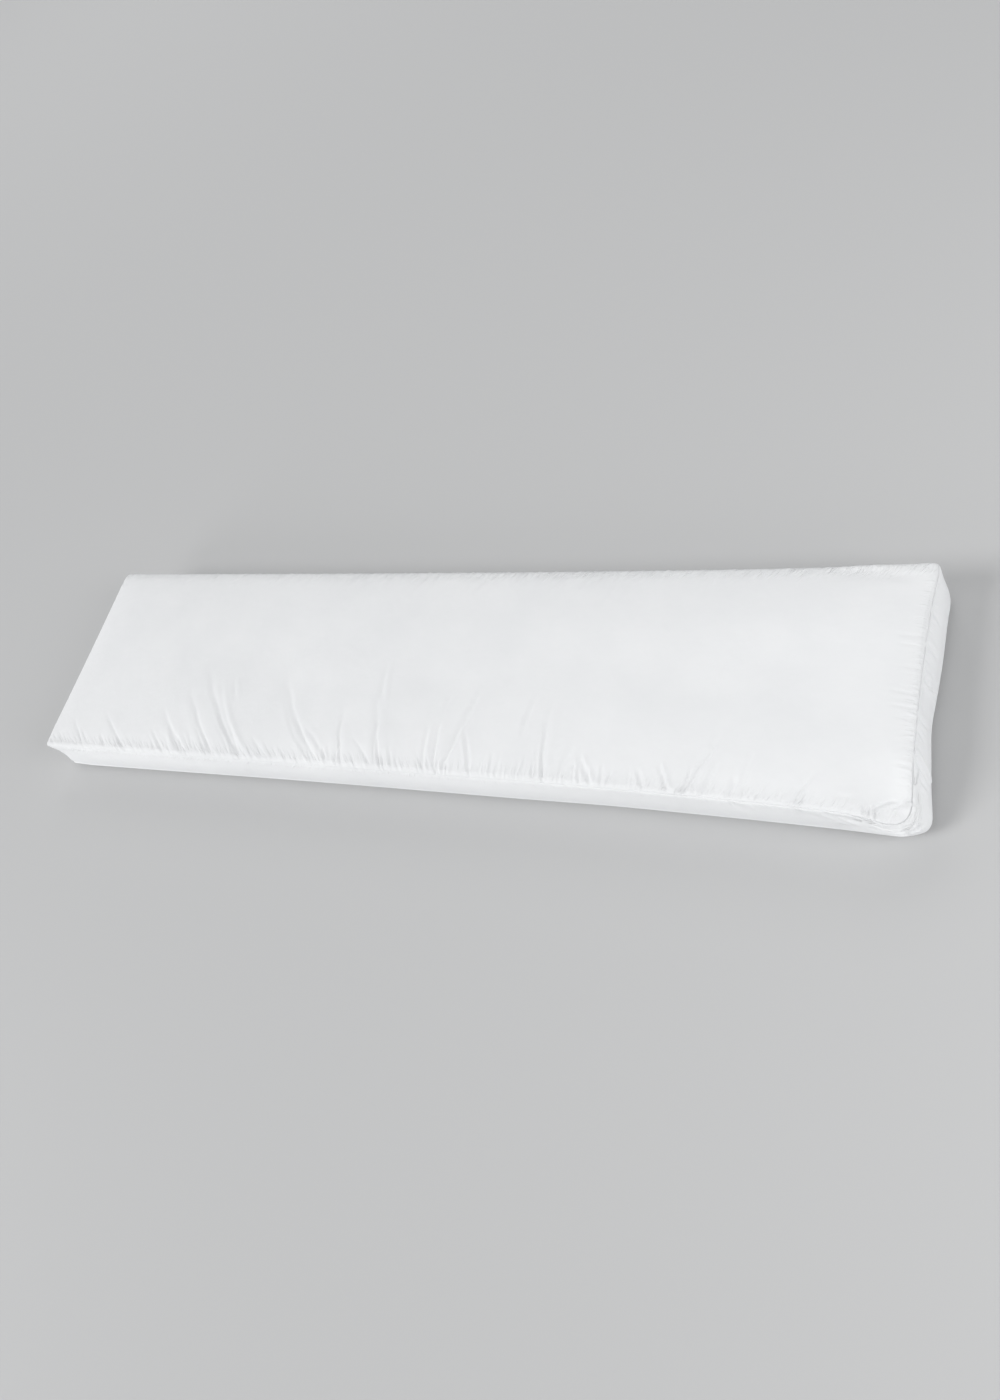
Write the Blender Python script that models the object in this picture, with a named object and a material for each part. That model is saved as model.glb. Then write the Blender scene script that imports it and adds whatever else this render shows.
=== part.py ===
"""A long gusseted body pillow, filled and sewn shut, lying on its back panel.

Metres, +Z up. +X runs along the pillow, +Y across it, and the face looks up. The origin is on
the floor, under the middle of the pillow's box. One filled solid: a crowned front panel, a
gusset band all round with a seam above and below it, and a back panel that lies flat.
"""

import math
from collections import namedtuple

import bmesh
import bpy
from mathutils import Vector

# Sewn sizes, corner of the seam to corner of the seam
LENGTH = 1.606
WIDTH = 0.404
FRONT_SEAM_HEIGHT = 0.084
BACK_SEAM_HEIGHT = 0.011

# How the filling shapes the front panel
FACE_CROWN = 0.014
SIDE_CROWN_REACH = 0.135
END_CROWN_REACH = 0.180
SHOULDER_INSET = 0.011
SHOULDER_RISE = 0.0045

# The grid of the front panel. Rows and columns crowd towards the gathers
COLUMNS = 142
ROWS = 20
COLUMN_CROWDING = 0.13
ROW_CROWDING = 0.24

# How far the fill presses the back panel flat, in from its seam
REST_INSET = 0.034

# The four sides of the rim. draw: how far the seam is pulled in where the side is narrowest.
# waist: where that is, from -1 to 1 along the side. squareness: 2 is an even curve, and more
# keeps the pull flat between the corners. bulge: how far the gusset swells outwards half way
# up. tuck: how far its foot stands in from its head, at the -1 and the 1 end of the side
Side = namedtuple("Side", "draw waist squareness bulge tuck_start tuck_end")
SIDES = {
    "near": Side(0.0100, 0.30, 2.0, 0.005, -0.003, 0.009),
    "right": Side(0.0080, 0.20, 2.2, 0.002, -0.015, -0.009),
    "far": Side(0.0078, 0.35, 2.5, 0.008, 0.002, 0.001),
    "left": Side(0.0020, 0.00, 2.0, 0.010, 0.001, 0.001),
}
BULGE_SQUARENESS = 6

# Where the fibre pushes the gusset out further, or less far, than along the rest of its side. at
# and reach: along the side, which runs from -1 to 1
Puff = namedtuple("Puff", "side at reach out")
PUFFS = (
    Puff("right", 0.45, 0.28, 0.0026),
    Puff("right", -0.14, 0.20, -0.0036),
    Puff("right", -0.85, 0.25, 0.0034),
    Puff("near", 0.45, 0.12, -0.0010),
    Puff("far", -0.40, 0.30, 0.0020),
)

# How closely a ring's shift out of one side keeps to that side: more keeps it out of the
# sides round the corner
END_TURN = 18
SIDE_TURN = 5

# A ring of points round the rim. inset: in from the seam's outline. head and foot: height
# over or under the seam that the ring belongs to, so a ring has one of the two. swell: the
# share of the gusset's bulge that it takes
Ring = namedtuple("Ring", "name inset head foot swell")
RINGS = (
    Ring("panel roll", 0.0010, 0.0010, None, 0.0),
    Ring("front seam", 0.0038, -0.0030, None, 0.0),
    Ring("gusset upper roll", 0.0000, -0.0080, None, 0.25),
    Ring("gusset middle", 0.0000, -0.0365, None, 1.0),
    Ring("gusset lower roll", 0.0000, None, 0.0080, 0.6),
    Ring("back seam", 0.0040, None, 0.0030, 0.3),
    Ring("back roll", 0.0015, None, -0.0030, 0.3),
)

# Each corner of the seam. radius: of the arc that it is sewn to. lift: up or down from the seam's
# height. reach: how far along the sides this is felt. pinch: how far the gusset is drawn in under
# the corner
Corner = namedtuple("Corner", "u v radius lift reach pinch")
CORNERS = (
    Corner(-1, -1, 0.006, 0.000, 0.085, 0.006),
    Corner(1, -1, 0.036, -0.030, 0.125, -0.004),
    Corner(1, 1, 0.013, 0.002, 0.070, 0.001),
    Corner(-1, 1, 0.011, 0.000, 0.070, 0.005),
)

# The gathers that fan up the front panel from the near seam, left to right. foot_x: where one
# leaves the seam. lean: how far it runs towards +X for each metre that it runs up the panel.
# climb: how far up it runs. bow: how far its middle bends to +X. width and depth: of its trough
Gather = namedtuple("Gather", "foot_x lean climb bow width depth")
GATHERS = (
    Gather(-0.700, -0.90, 0.060, 0.000, 0.013, 0.0026),
    Gather(-0.590, -1.08, 0.080, -0.004, 0.013, 0.0030),
    Gather(-0.434, -1.10, 0.090, -0.004, 0.015, 0.0040),
    Gather(-0.374, -0.82, 0.140, -0.006, 0.015, 0.0036),
    Gather(-0.312, -0.82, 0.185, -0.012, 0.018, 0.0048),
    Gather(-0.249, -1.20, 0.050, 0.000, 0.012, 0.0030),
    Gather(-0.138, -0.80, 0.170, -0.014, 0.016, 0.0044),
    Gather(-0.097, -0.26, 0.120, -0.006, 0.013, 0.0030),
    Gather(-0.029, -1.06, 0.062, 0.000, 0.012, 0.0030),
    Gather(-0.020, -0.30, 0.175, -0.006, 0.015, 0.0028),
    Gather(0.084, -0.10, 0.110, -0.008, 0.013, 0.0034),
    Gather(0.090, 0.26, 0.145, -0.004, 0.015, 0.0038),
    Gather(0.272, -0.10, 0.140, -0.005, 0.013, 0.0034),
    Gather(0.302, 0.42, 0.055, 0.000, 0.012, 0.0026),
    Gather(0.500, 0.48, 0.100, 0.003, 0.014, 0.0036),
    Gather(0.644, 0.47, 0.045, 0.000, 0.012, 0.0030),
)
GATHER_RIDGE = 0.45

# Where the filling is thinner or thicker: middle, reach along X and Y, and the rise, which is
# negative for a hollow
Lump = namedtuple("Lump", "x y reach_x reach_y rise")
LUMPS = (
    Lump(-0.52, 0.04, 0.20, 0.12, 0.0025),
    Lump(-0.30, -0.03, 0.12, 0.10, -0.0030),
    Lump(-0.08, 0.02, 0.14, 0.11, 0.0020),
    Lump(0.06, -0.06, 0.10, 0.08, -0.0022),
    Lump(0.32, 0.03, 0.16, 0.12, 0.0030),
    Lump(0.56, -0.05, 0.15, 0.10, -0.0015),
    Lump(0.60, 0.09, 0.22, 0.07, 0.0035),
)

COTTON_COLOUR = (0.86, 0.87, 0.88, 1.0)
COTTON_ROUGHNESS = 0.85
POINTS_ARE_ONE = 1e-9


def clear_scene():
    for old in list(bpy.data.objects):
        bpy.data.objects.remove(old, do_unlink=True)


def cotton_material():
    """White cotton of a close weave."""
    cotton = bpy.data.materials.new("white_cotton")
    cotton.use_nodes = True
    cloth = cotton.node_tree.nodes["Principled BSDF"]
    cloth.inputs["Base Color"].default_value = COTTON_COLOUR
    cloth.inputs["Roughness"].default_value = COTTON_ROUGHNESS
    cloth.inputs["Metallic"].default_value = 0.0
    return cotton


def sides_at(u, v):
    """The names of the end and the long side that a place on the panel is nearer to. u and v run
    from -1 to 1 along the pillow and across it."""
    return "right" if u > 0 else "left", "far" if v > 0 else "near"


def draw_in(name, along):
    """How far a side's seam is pulled in, from 0 at its corners to its full draw."""
    side = SIDES[name]
    from_waist = (along - side.waist) / (1 - side.waist * along)
    return side.draw * (1 - abs(from_waist) ** side.squareness)


def corner_weight(corner, place):
    """1 at a corner, falling softly to 0 at its reach."""
    away = math.hypot(place.x - corner.u * LENGTH / 2, place.y - corner.v * WIDTH / 2)
    near = max(0.0, 1 - away / corner.reach)
    return (near * near * (3 - 2 * near)) ** 2


def round_corners(x, y, reach_x, reach_y):
    """Turns the outline's square corners into arcs. reach_x and reach_y: half its length and its
    width."""
    for corner in CORNERS:
        straight_x, straight_y = reach_x - corner.radius, reach_y - corner.radius
        past_x, past_y = corner.u * x - straight_x, corner.v * y - straight_y
        if past_x > 0 and past_y > 0:
            shrink = max(past_x, past_y) / math.hypot(past_x, past_y)
            x = corner.u * (straight_x + past_x * shrink)
            y = corner.v * (straight_y + past_y * shrink)
    return Vector((x, y, 0.0))


def seam_plan(u, v, inset=0.0):
    """Where a place on the panel lies, seen from above, with the rim stood in by the inset."""
    end, side = sides_at(u, v)
    reach_x = LENGTH / 2 - draw_in(end, v) - inset
    reach_y = WIDTH / 2 - draw_in(side, u) - inset
    return round_corners(u * reach_x, v * reach_y, reach_x, reach_y)


def corner_lift(place):
    return sum(corner.lift * corner_weight(corner, place) for corner in CORNERS)


def crown(place):
    """The rise of the filled panel over its seam: steep at the rim, level in the middle."""
    from_side = (WIDTH / 2 - abs(place.y)) / SIDE_CROWN_REACH
    from_end = (LENGTH / 2 - abs(place.x)) / END_CROWN_REACH
    across, along = (
        math.sin(math.pi / 2 * min(max(way, 0.0), 1.0)) for way in (from_side, from_end)
    )
    return FACE_CROWN * across * along


def lumps(place):
    total = 0.0
    for lump in LUMPS:
        away = math.hypot((place.x - lump.x) / lump.reach_x, (place.y - lump.y) / lump.reach_y)
        total += lump.rise * math.exp(-away * away)
    return total


def gather_relief(place):
    """The gathers' troughs and the soft ridges on both sides of each."""
    total = 0.0
    for gather in GATHERS:
        up = (place.y + WIDTH / 2) / gather.climb
        if up > 1:
            continue
        middle = gather.foot_x + gather.lean * gather.climb * up
        middle += 4 * gather.bow * up * (1 - up)
        across = (place.x - middle) / math.hypot(1, gather.lean) / (gather.width / 2)
        fade = math.cos(math.pi / 2 * up) ** 0.8 * (1 - 0.35 * up)
        trough = math.exp(-across * across)
        ridges = math.exp(-((abs(across) - 2) ** 2))
        total += gather.depth * fade * (GATHER_RIDGE * ridges - trough)
    return total


def face_height(place):
    height = FRONT_SEAM_HEIGHT + SHOULDER_RISE + corner_lift(place)
    return height + crown(place) + lumps(place) + gather_relief(place)


def crowded(place, crowding):
    """Shifts a row or column towards -1, and leaves -1 and 1 where they are."""
    return place + crowding * (place * place - 1)


def front_panel(bm):
    """The crowned panel, as far as the shoulder just inside its seam. It returns the rim's
    points, each with its place on the panel."""
    bmesh.ops.create_grid(bm, x_segments=COLUMNS, y_segments=ROWS, size=1.0)
    rim = {}
    for point in bm.verts:
        u = crowded(point.co.x, COLUMN_CROWDING)
        v = crowded(point.co.y, ROW_CROWDING)
        if point.is_boundary:
            rim[point] = (round(u), v) if abs(u) > 1 - POINTS_ARE_ONE else (u, round(v))
        place = seam_plan(u, v, SHOULDER_INSET)
        point.co = (place.x, place.y, face_height(place))
    return rim


def shifted_out(u, v, end_out, side_out):
    """A place on the rim, moved out of the end and of the long side. Near a corner both moves
    are felt, so that the band turns it in one piece."""
    turn_end = math.copysign(abs(u) ** END_TURN, u)
    turn_side = math.copysign(abs(v) ** SIDE_TURN, v)
    return seam_plan(u, v) + Vector((end_out * turn_end, side_out * turn_side, 0.0))


def puffed(name, along):
    """How far the fibre pushes out the gusset at one place along a side."""
    rows = (puff for puff in PUFFS if puff.side == name)
    return sum(puff.out * math.exp(-(((along - puff.at) / puff.reach) ** 2)) for puff in rows)


def ring_out(ring, name, along, pinch):
    """How far a ring stands out of the seam's outline on one side."""
    side = SIDES[name]
    swollen = side.bulge * (1 - abs(along) ** BULGE_SQUARENESS) - pinch
    tuck = side.tuck_start + (side.tuck_end - side.tuck_start) * (along + 1) / 2
    foot_share = 1 if ring.head is None else ring.swell / 2
    puff = puffed(name, along) * min(1, ring.swell + foot_share)
    return ring.swell * swollen - ring.inset - tuck * foot_share + puff


def ring_point(ring, u, v):
    """Where one ring passes a place on the rim."""
    end, side = sides_at(u, v)
    seam = seam_plan(u, v)
    pinch = sum(corner.pinch * corner_weight(corner, seam) for corner in CORNERS)
    place = shifted_out(u, v, ring_out(ring, end, v, pinch), ring_out(ring, side, u, pinch))
    if ring.head is None:
        place.z = BACK_SEAM_HEIGHT + ring.foot
    else:
        sag = corner_lift(seam) * (1 - ring.swell / 2)
        place.z = FRONT_SEAM_HEIGHT + ring.head + sag
    return place


def grow_ring(bm, edges, rim, place_of):
    """Extrudes the rim's edges once and sets the new points. It returns the new edges and rim."""
    grown = bmesh.ops.extrude_edge_only(bm, edges=edges)["geom"]
    new_points = [item for item in grown if isinstance(item, bmesh.types.BMVert)]
    new_edges = [item for item in grown if isinstance(item, bmesh.types.BMEdge)]
    new_edges = [edge for edge in new_edges if edge.is_boundary]
    old_at = {tuple(point.co): where for point, where in rim.items()}
    new_rim = {point: old_at[tuple(point.co)] for point in new_points}
    for point, (u, v) in new_rim.items():
        point.co = place_of(u, v)
    return new_edges, new_rim


def resting_point(u, v):
    """The line where the back panel comes down to the floor."""
    return shifted_out(u, v, -REST_INSET, -REST_INSET)


def pillow_mesh():
    """The front panel, then ring after ring down the gusset, then the flat back panel."""
    bm = bmesh.new()
    rim = front_panel(bm)
    edges = [edge for edge in bm.edges if edge.is_boundary]
    for ring in RINGS:
        edges, rim = grow_ring(bm, edges, rim, lambda u, v, ring=ring: ring_point(ring, u, v))
    edges, rim = grow_ring(bm, edges, rim, resting_point)
    bmesh.ops.contextual_create(bm, geom=edges)
    bmesh.ops.recalc_face_normals(bm, faces=bm.faces)
    return bm


def stand_on_origin(bm):
    """Moves the points so that the origin is under the middle of the pillow's box."""
    for axis in range(2):
        reach = [point.co[axis] for point in bm.verts]
        middle = (min(reach) + max(reach)) / 2
        for point in bm.verts:
            point.co[axis] -= middle


def make_pillow(collection):
    bm = pillow_mesh()
    stand_on_origin(bm)
    mesh = bpy.data.meshes.new("pillow")
    bm.to_mesh(mesh)
    bm.free()
    mesh.shade_smooth()
    mesh.materials.append(cotton_material())
    pillow = bpy.data.objects.new("pillow", mesh)
    collection.objects.link(pillow)
    return pillow


def main():
    clear_scene()
    collection = bpy.data.collections.new("body_pillow")
    bpy.context.scene.collection.children.link(collection)
    pillow = make_pillow(collection)
    size = pillow.dimensions
    print(f"pillow {size.x:.3f} x {size.y:.3f} x {size.z:.3f} m, {len(pillow.data.polygons)} faces")


main()
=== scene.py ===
# %% [markdown]
# # A long gusseted body pillow
# The object is one filled pillow, about 1.6 m long and 0.4 m wide, sewn from three pieces of close
# white cotton: a front panel, a back panel, and one long band round the rim, the gusset. The packed
# frame gives its place and its size. This lesson makes the cover that shows: it is cut, filled by a
# cloth simulation, gathered along its seams, and given a cotton finish.
# First the frame is loaded.

import math
import random
from collections import namedtuple

import bmesh
import bpy
import numpy as np
from mathutils import Matrix, Vector


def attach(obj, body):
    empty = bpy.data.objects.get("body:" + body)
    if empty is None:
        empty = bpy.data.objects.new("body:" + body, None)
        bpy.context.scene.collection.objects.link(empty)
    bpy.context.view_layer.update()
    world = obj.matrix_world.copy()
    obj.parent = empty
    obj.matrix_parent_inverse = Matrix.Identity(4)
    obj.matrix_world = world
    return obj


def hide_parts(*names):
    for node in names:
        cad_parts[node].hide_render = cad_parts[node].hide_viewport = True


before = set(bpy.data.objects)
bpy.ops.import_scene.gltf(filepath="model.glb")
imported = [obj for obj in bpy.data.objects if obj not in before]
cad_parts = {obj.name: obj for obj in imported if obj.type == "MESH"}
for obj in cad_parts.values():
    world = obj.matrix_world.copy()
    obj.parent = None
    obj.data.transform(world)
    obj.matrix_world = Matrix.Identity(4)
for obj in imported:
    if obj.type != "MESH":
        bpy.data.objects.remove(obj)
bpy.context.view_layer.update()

# %% [markdown]
# ## The camera
# The pillow lies on its back panel here, and the camera keeps the photograph's angle to its face: it
# stands a good metre and a half up, off the near right corner, and looks down across the pillow. A
# camera in Blender can be typed in as angles, but a place, a point to aim at and a roll are easier to
# read and to change. The lens is as wide as a phone's, which makes the far end look small.

# %% Set up the camera
CAMERA_AT = Vector((1.0269, -0.8013, 1.5093))
CAMERA_AIM = Vector((0.1041, -0.0101, 0.0))
CAMERA_ROLL = math.radians(-39.49)
LENS = 29.417
SENSOR = 36.0

scene = bpy.context.scene
view = bpy.data.cameras.new("camera")
view.lens = LENS
view.sensor_width = SENSOR
camera = bpy.data.objects.new("camera", view)
scene.collection.objects.link(camera)
looking = (CAMERA_AIM - CAMERA_AT).to_track_quat("-Z", "Y").to_matrix()
camera.matrix_world = Matrix.Translation(CAMERA_AT) @ (
    looking @ Matrix.Rotation(CAMERA_ROLL, 3, "Z")
).to_4x4()
scene.camera = camera
print("camera", round((CAMERA_AIM - CAMERA_AT).length, 3), "m from what it aims at")

# %% [markdown]
# ## The sewn outline
# Seen from above, the front seam is almost a rectangle. The filling swells the panels, and that draws
# the seam in between the corners, so each side is a shallow waist. A rectangle bent by hand would do,
# but four sides with four named sizes each keep it even and easy to change. A place on a panel is
# given by u, from -1 to 1 along the pillow, and v, from -1 to 1 across it.

# %% The outline of the front seam
LENGTH = 1.606
WIDTH = 0.404
FRONT_SEAM_HEIGHT = 0.084
BACK_SEAM_HEIGHT = 0.011

# draw: how far the seam is pulled in at its waist. waist: where that is, from -1 to 1. squareness: 2 is
# an even curve. bulge: how far the gusset swells out. tuck: how far its foot stands in, at both ends
Side = namedtuple("Side", "draw waist squareness bulge tuck_start tuck_end")
SIDES = {
    "near": Side(0.0100, 0.30, 2.0, 0.005, -0.003, 0.009),
    "right": Side(0.0080, 0.20, 2.2, 0.002, -0.015, -0.009),
    "far": Side(0.0078, 0.35, 2.5, 0.008, 0.002, 0.001),
    "left": Side(0.0020, 0.00, 2.0, 0.010, 0.001, 0.001),
}

# radius: of the arc that a corner is sewn to. lift: how far it stands over or under the seam's height.
# reach: how far along the sides that is felt. pinch: how far the gusset is drawn in under it
Corner = namedtuple("Corner", "u v radius lift reach pinch")
CORNERS = (
    Corner(-1, -1, 0.006, 0.000, 0.085, 0.006),
    Corner(1, -1, 0.036, -0.030, 0.125, -0.0065),
    Corner(1, 1, 0.013, 0.002, 0.070, 0.001),
    Corner(-1, 1, 0.011, 0.000, 0.070, 0.005),
)

# Where the fibre pushes the gusset out further, or less far, than along the rest of its side. at and
# reach: along the side, which runs from -1 to 1
Puff = namedtuple("Puff", "side at reach out")
PUFFS = (
    Puff("right", 0.45, 0.28, 0.0026),
    Puff("right", -0.14, 0.20, -0.0036),
    Puff("right", -0.85, 0.25, 0.0034),
    Puff("near", 0.20, 0.34, 0.0016),
    Puff("near", 0.45, 0.12, -0.0010),
    Puff("far", -0.40, 0.30, 0.0020),
)
print("front seam:", LENGTH, "m by", WIDTH, "m, with", len(CORNERS), "corners of their own")

# %% Draw the sides in and round the corners
TINY = 1e-9  # keeps a division away from 0


def draw_in(side, along):
    """How far a side's seam is pulled in: nothing at its corners, most at its waist."""
    from_waist = (along - side.waist) / (1 - side.waist * along)
    return side.draw * (1 - np.abs(from_waist) ** side.squareness)


def soft_step(way):
    """0 to 1, level at both ends."""
    way = np.clip(way, 0.0, 1.0)
    return way * way * (3 - 2 * way)


def corner_weight(corner, x, y):
    """1 at a corner, falling softly to 0 at its reach."""
    away = np.hypot(x - corner.u * LENGTH / 2, y - corner.v * WIDTH / 2)
    return soft_step(1 - away / corner.reach) ** 2


def round_corners(x, y, reach_x, reach_y):
    """Turns the outline's square corners into arcs. reach_x and reach_y: half its length and width."""
    for corner in CORNERS:
        straight_x, straight_y = reach_x - corner.radius, reach_y - corner.radius
        past_x, past_y = corner.u * x - straight_x, corner.v * y - straight_y
        turning = (past_x > 0) & (past_y > 0)
        shrink = np.maximum(past_x, past_y) / np.maximum(np.hypot(past_x, past_y), TINY)
        x = np.where(turning, corner.u * (straight_x + past_x * shrink), x)
        y = np.where(turning, corner.v * (straight_y + past_y * shrink), y)
    return x, y


def seam_plan(u, v, inset=0.0):
    """Where a place on the panel lies, seen from above, with the rim stood in by the inset."""
    end = np.where(u > 0, draw_in(SIDES["right"], v), draw_in(SIDES["left"], v))
    side = np.where(v > 0, draw_in(SIDES["far"], u), draw_in(SIDES["near"], u))
    reach_x, reach_y = LENGTH / 2 - end - inset, WIDTH / 2 - side - inset
    return round_corners(u * reach_x, v * reach_y, reach_x, reach_y)


def corner_lift(x, y):
    return sum(corner.lift * corner_weight(corner, x, y) for corner in CORNERS)


waist = seam_plan(np.array([SIDES["near"].waist]), np.array([-1.0]))[1][0]
print("the near seam's waist is", round((WIDTH / 2 + waist) * 1000, 1), "mm in")

# %% [markdown]
# ## The crowned front panel
# Loose fibre under a sewn panel makes a crown: it rises steeply from the seam, like a pie's edge, and
# is almost level in the middle. Fibre never lies quite even, so a few wide lumps and hollows go on top.
# The panel is a grid, made from two rows of numbers with numpy, which is quick and keeps u and v of
# every point at hand for the seams and gathers that come later. Its columns and rows stand closer
# together towards the near left side, where the gathers are.

# %% The crown
FACE_CROWN = 0.010
SIDE_CROWN_REACH = 0.150
END_CROWN_REACH = 0.200


def quarter_wave(way):
    """0 to 1 along a quarter of a wave: steep at first and level at the end."""
    return np.sin(math.pi / 2 * np.clip(way, 0.0, 1.0))


def crown(x, y):
    across = quarter_wave((WIDTH / 2 - np.abs(y)) / SIDE_CROWN_REACH)
    along = quarter_wave((LENGTH / 2 - np.abs(x)) / END_CROWN_REACH)
    return FACE_CROWN * across * along


half_way = float(crown(0.0, WIDTH / 4))
print("half way to a long side the crown is", round(half_way * 1000, 1), "mm high")

# %% Its lumps and hollows
Lump = namedtuple("Lump", "x y reach_x reach_y rise")
LUMPS = (
    Lump(-0.52, 0.04, 0.20, 0.12, 0.0025),
    Lump(-0.30, -0.03, 0.12, 0.10, -0.0030),
    Lump(-0.08, 0.02, 0.14, 0.11, 0.0020),
    Lump(0.06, -0.06, 0.10, 0.08, -0.0022),
    Lump(0.32, 0.03, 0.16, 0.12, 0.0030),
    Lump(0.56, -0.05, 0.15, 0.10, -0.0015),
    Lump(0.50, 0.08, 0.20, 0.08, 0.0026),
    Lump(0.690, 0.105, 0.12, 0.06, 0.0046),
    Lump(-0.420, -0.098, 0.030, 0.020, -0.0014),
    Lump(-0.256, -0.058, 0.026, 0.034, -0.0022),
    Lump(-0.160, -0.020, 0.030, 0.022, 0.0012),
    Lump(-0.110, -0.110, 0.026, 0.020, -0.0014),
    Lump(-0.012, -0.106, 0.030, 0.018, -0.0014),
    Lump(0.030, -0.030, 0.024, 0.020, -0.0012),
    Lump(0.142, -0.104, 0.022, 0.020, -0.0012),
    Lump(0.262, -0.150, 0.050, 0.016, -0.0014),
    Lump(0.372, -0.060, 0.050, 0.040, 0.0024),
    Lump(0.384, 0.054, 0.040, 0.030, 0.0020),
    Lump(0.494, -0.030, 0.030, 0.024, -0.0014),
    Lump(0.610, 0.020, 0.030, 0.022, -0.0012),
    Lump(0.640, -0.110, 0.060, 0.040, 0.0016),
)


def lumps(x, y):
    total = 0.0
    for lump in LUMPS:
        away = np.hypot((x - lump.x) / lump.reach_x, (y - lump.y) / lump.reach_y)
        total = total + lump.rise * np.exp(-away * away)
    return total


hollows = sum(lump.rise < 0 for lump in LUMPS)
print(len(LUMPS) - hollows, "lumps and", hollows, "hollows lie on the face")

# %% The height of the front panel
SHOULDER_INSET = 0.011
SHOULDER_RISE = 0.0045


def face_height(x, y, inset):
    """The panel's height. Over its shoulder it rounds off to the seam like a quarter of an ellipse."""
    round_off = math.sqrt(1 - (1 - min(inset, SHOULDER_INSET) / SHOULDER_INSET) ** 2)
    height = FRONT_SEAM_HEIGHT + SHOULDER_RISE * round_off + corner_lift(x, y)
    return height + crown(x, y) + lumps(x, y) * round_off


middle_height = float(face_height(0.0, 0.0, SHOULDER_INSET))
print("the middle of the face is", round(middle_height * 1000, 1), "mm over the floor")

# %% Lay out the front panel's grid
COLUMNS = 202
ROWS = 32
COLUMN_CROWDING = 0.10
ROW_CROWDING = 0.28


def crowded(place, crowding):
    """Shifts rows or columns towards -1, and leaves -1 and 1 where they are."""
    return place + crowding * (place * place - 1)


def panel_grid():
    """The panel's points, row after row, with the u and v of each."""
    u, v = np.meshgrid(
        crowded(np.linspace(-1, 1, COLUMNS + 1), COLUMN_CROWDING),
        crowded(np.linspace(-1, 1, ROWS + 1), ROW_CROWDING),
    )
    u, v = u.ravel(), v.ravel()
    x, y = seam_plan(u, v, SHOULDER_INSET)
    return u, v, np.column_stack((x, y, face_height(x, y, SHOULDER_INSET)))


panel_u, panel_v, panel_points = panel_grid()
print("front panel:", len(panel_points), "points, top at", round(panel_points[:, 2].max(), 4), "m")

# %% [markdown]
# ## The seams and the gusset
# From the panel's shoulder, ring after ring of points goes down the rim: over a narrow roll, into the
# seam's groove, over a second roll, down the band, and round the back seam to the floor. A seam that
# is sewn from inside and turned has no stitches on show, only this groove between two rolls. A bevel
# or a boolean cut could draw it, but rings from a table keep every roll on the seam, all the way round.
# Along the gathered near side the panel's roll is fuller and hangs over the groove, so the table has
# two columns more for the rings there.

# %% The rings round the rim
# inset: in from the seam's outline. height: over the floor. full_inset and full_height: the same under
# the full roll of the near side. swell: its share of the gusset's bulge. cloth: how far it lies from the
# front seam, measured along the cloth, and less than 0 on the panel. The shoulder is still a part of the
# panel, so its height is the face's
Ring = namedtuple("Ring", "name inset height full_inset full_height swell cloth")
SHOULDER = Ring("shoulder", 0.0066, None, 0.0066, None, 0.0, -0.0088)
BAND_RINGS = (
    Ring("panel roll", 0.0040, 0.0877, 0.0042, 0.0869, 0.00, -0.0052),
    Ring("panel lip", 0.0017, 0.0864, -0.0010, 0.0828, 0.00, -0.0026),
    Ring("front seam", 0.0027, 0.0837, 0.0022, 0.0806, 0.00, 0.0000),
    Ring("band lip", 0.0006, 0.0845, 0.0012, 0.0790, 0.00, 0.0026),
    Ring("band roll", -0.0004, 0.0806, 0.0000, 0.0768, 0.08, 0.0062),
    Ring("upper band", 0.0000, 0.0665, 0.0000, 0.0660, 0.62, 0.0200),
    Ring("middle of the band", 0.0000, 0.0465, 0.0000, 0.0465, 1.00, 0.0400),
    Ring("lower band", 0.0000, 0.0270, 0.0000, 0.0270, 0.75, 0.0595),
    Ring("back band lip", 0.0006, 0.0162, 0.0006, 0.0162, 0.40, 0.0703),
    Ring("back seam", 0.0036, 0.0140, 0.0036, 0.0140, 0.30, 0.0735),
    Ring("back lip", 0.0010, 0.0118, 0.0010, 0.0118, 0.30, 0.0765),
    Ring("back roll", 0.0016, 0.0075, 0.0016, 0.0075, 0.30, 0.0808),
    Ring("back shoulder", 0.0100, 0.0034, 0.0100, 0.0034, 0.00, 0.0900),
    Ring("rest", 0.0340, 0.0000, 0.0340, 0.0000, 0.00, 0.1145),
)
SEWN = ("front seam", "back seam")
print(len(BAND_RINGS) + 1, "rings go round the rim, two of them sewn")

# %% The full roll of the near side
FULL_ROLL_ENDS = (0.05, 0.60)  # along the near side, where the full roll begins to thin and is gone
NEAR_SIDE_FROM = -0.80  # the v where a left or right side turns into the near one
NEAR_SIDE_TURN = 0.15


def by_near_side(v):
    """1 along the near side, 0 on the others, and in between round its corners."""
    return soft_step((NEAR_SIDE_FROM - v) / NEAR_SIDE_TURN)


def full_roll(u, v):
    """1 along the gathered part of the near seam, and 0 on the other sides."""
    start, end = FULL_ROLL_ENDS
    return by_near_side(v) * (1 - soft_step((u - start) / (end - start)))


full_from, gone_by = (round(place * LENGTH / 2, 3) for place in FULL_ROLL_ENDS)
print("the full roll thins from x =", full_from, "m and is gone by", gone_by, "m")

# %% How far the gusset stands out
BULGE_SQUARENESS = 6


def puffed(side_name, along):
    rows = (puff for puff in PUFFS if puff.side == side_name)
    return sum(puff.out * np.exp(-(((along - puff.at) / puff.reach) ** 2)) for puff in rows)


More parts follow.
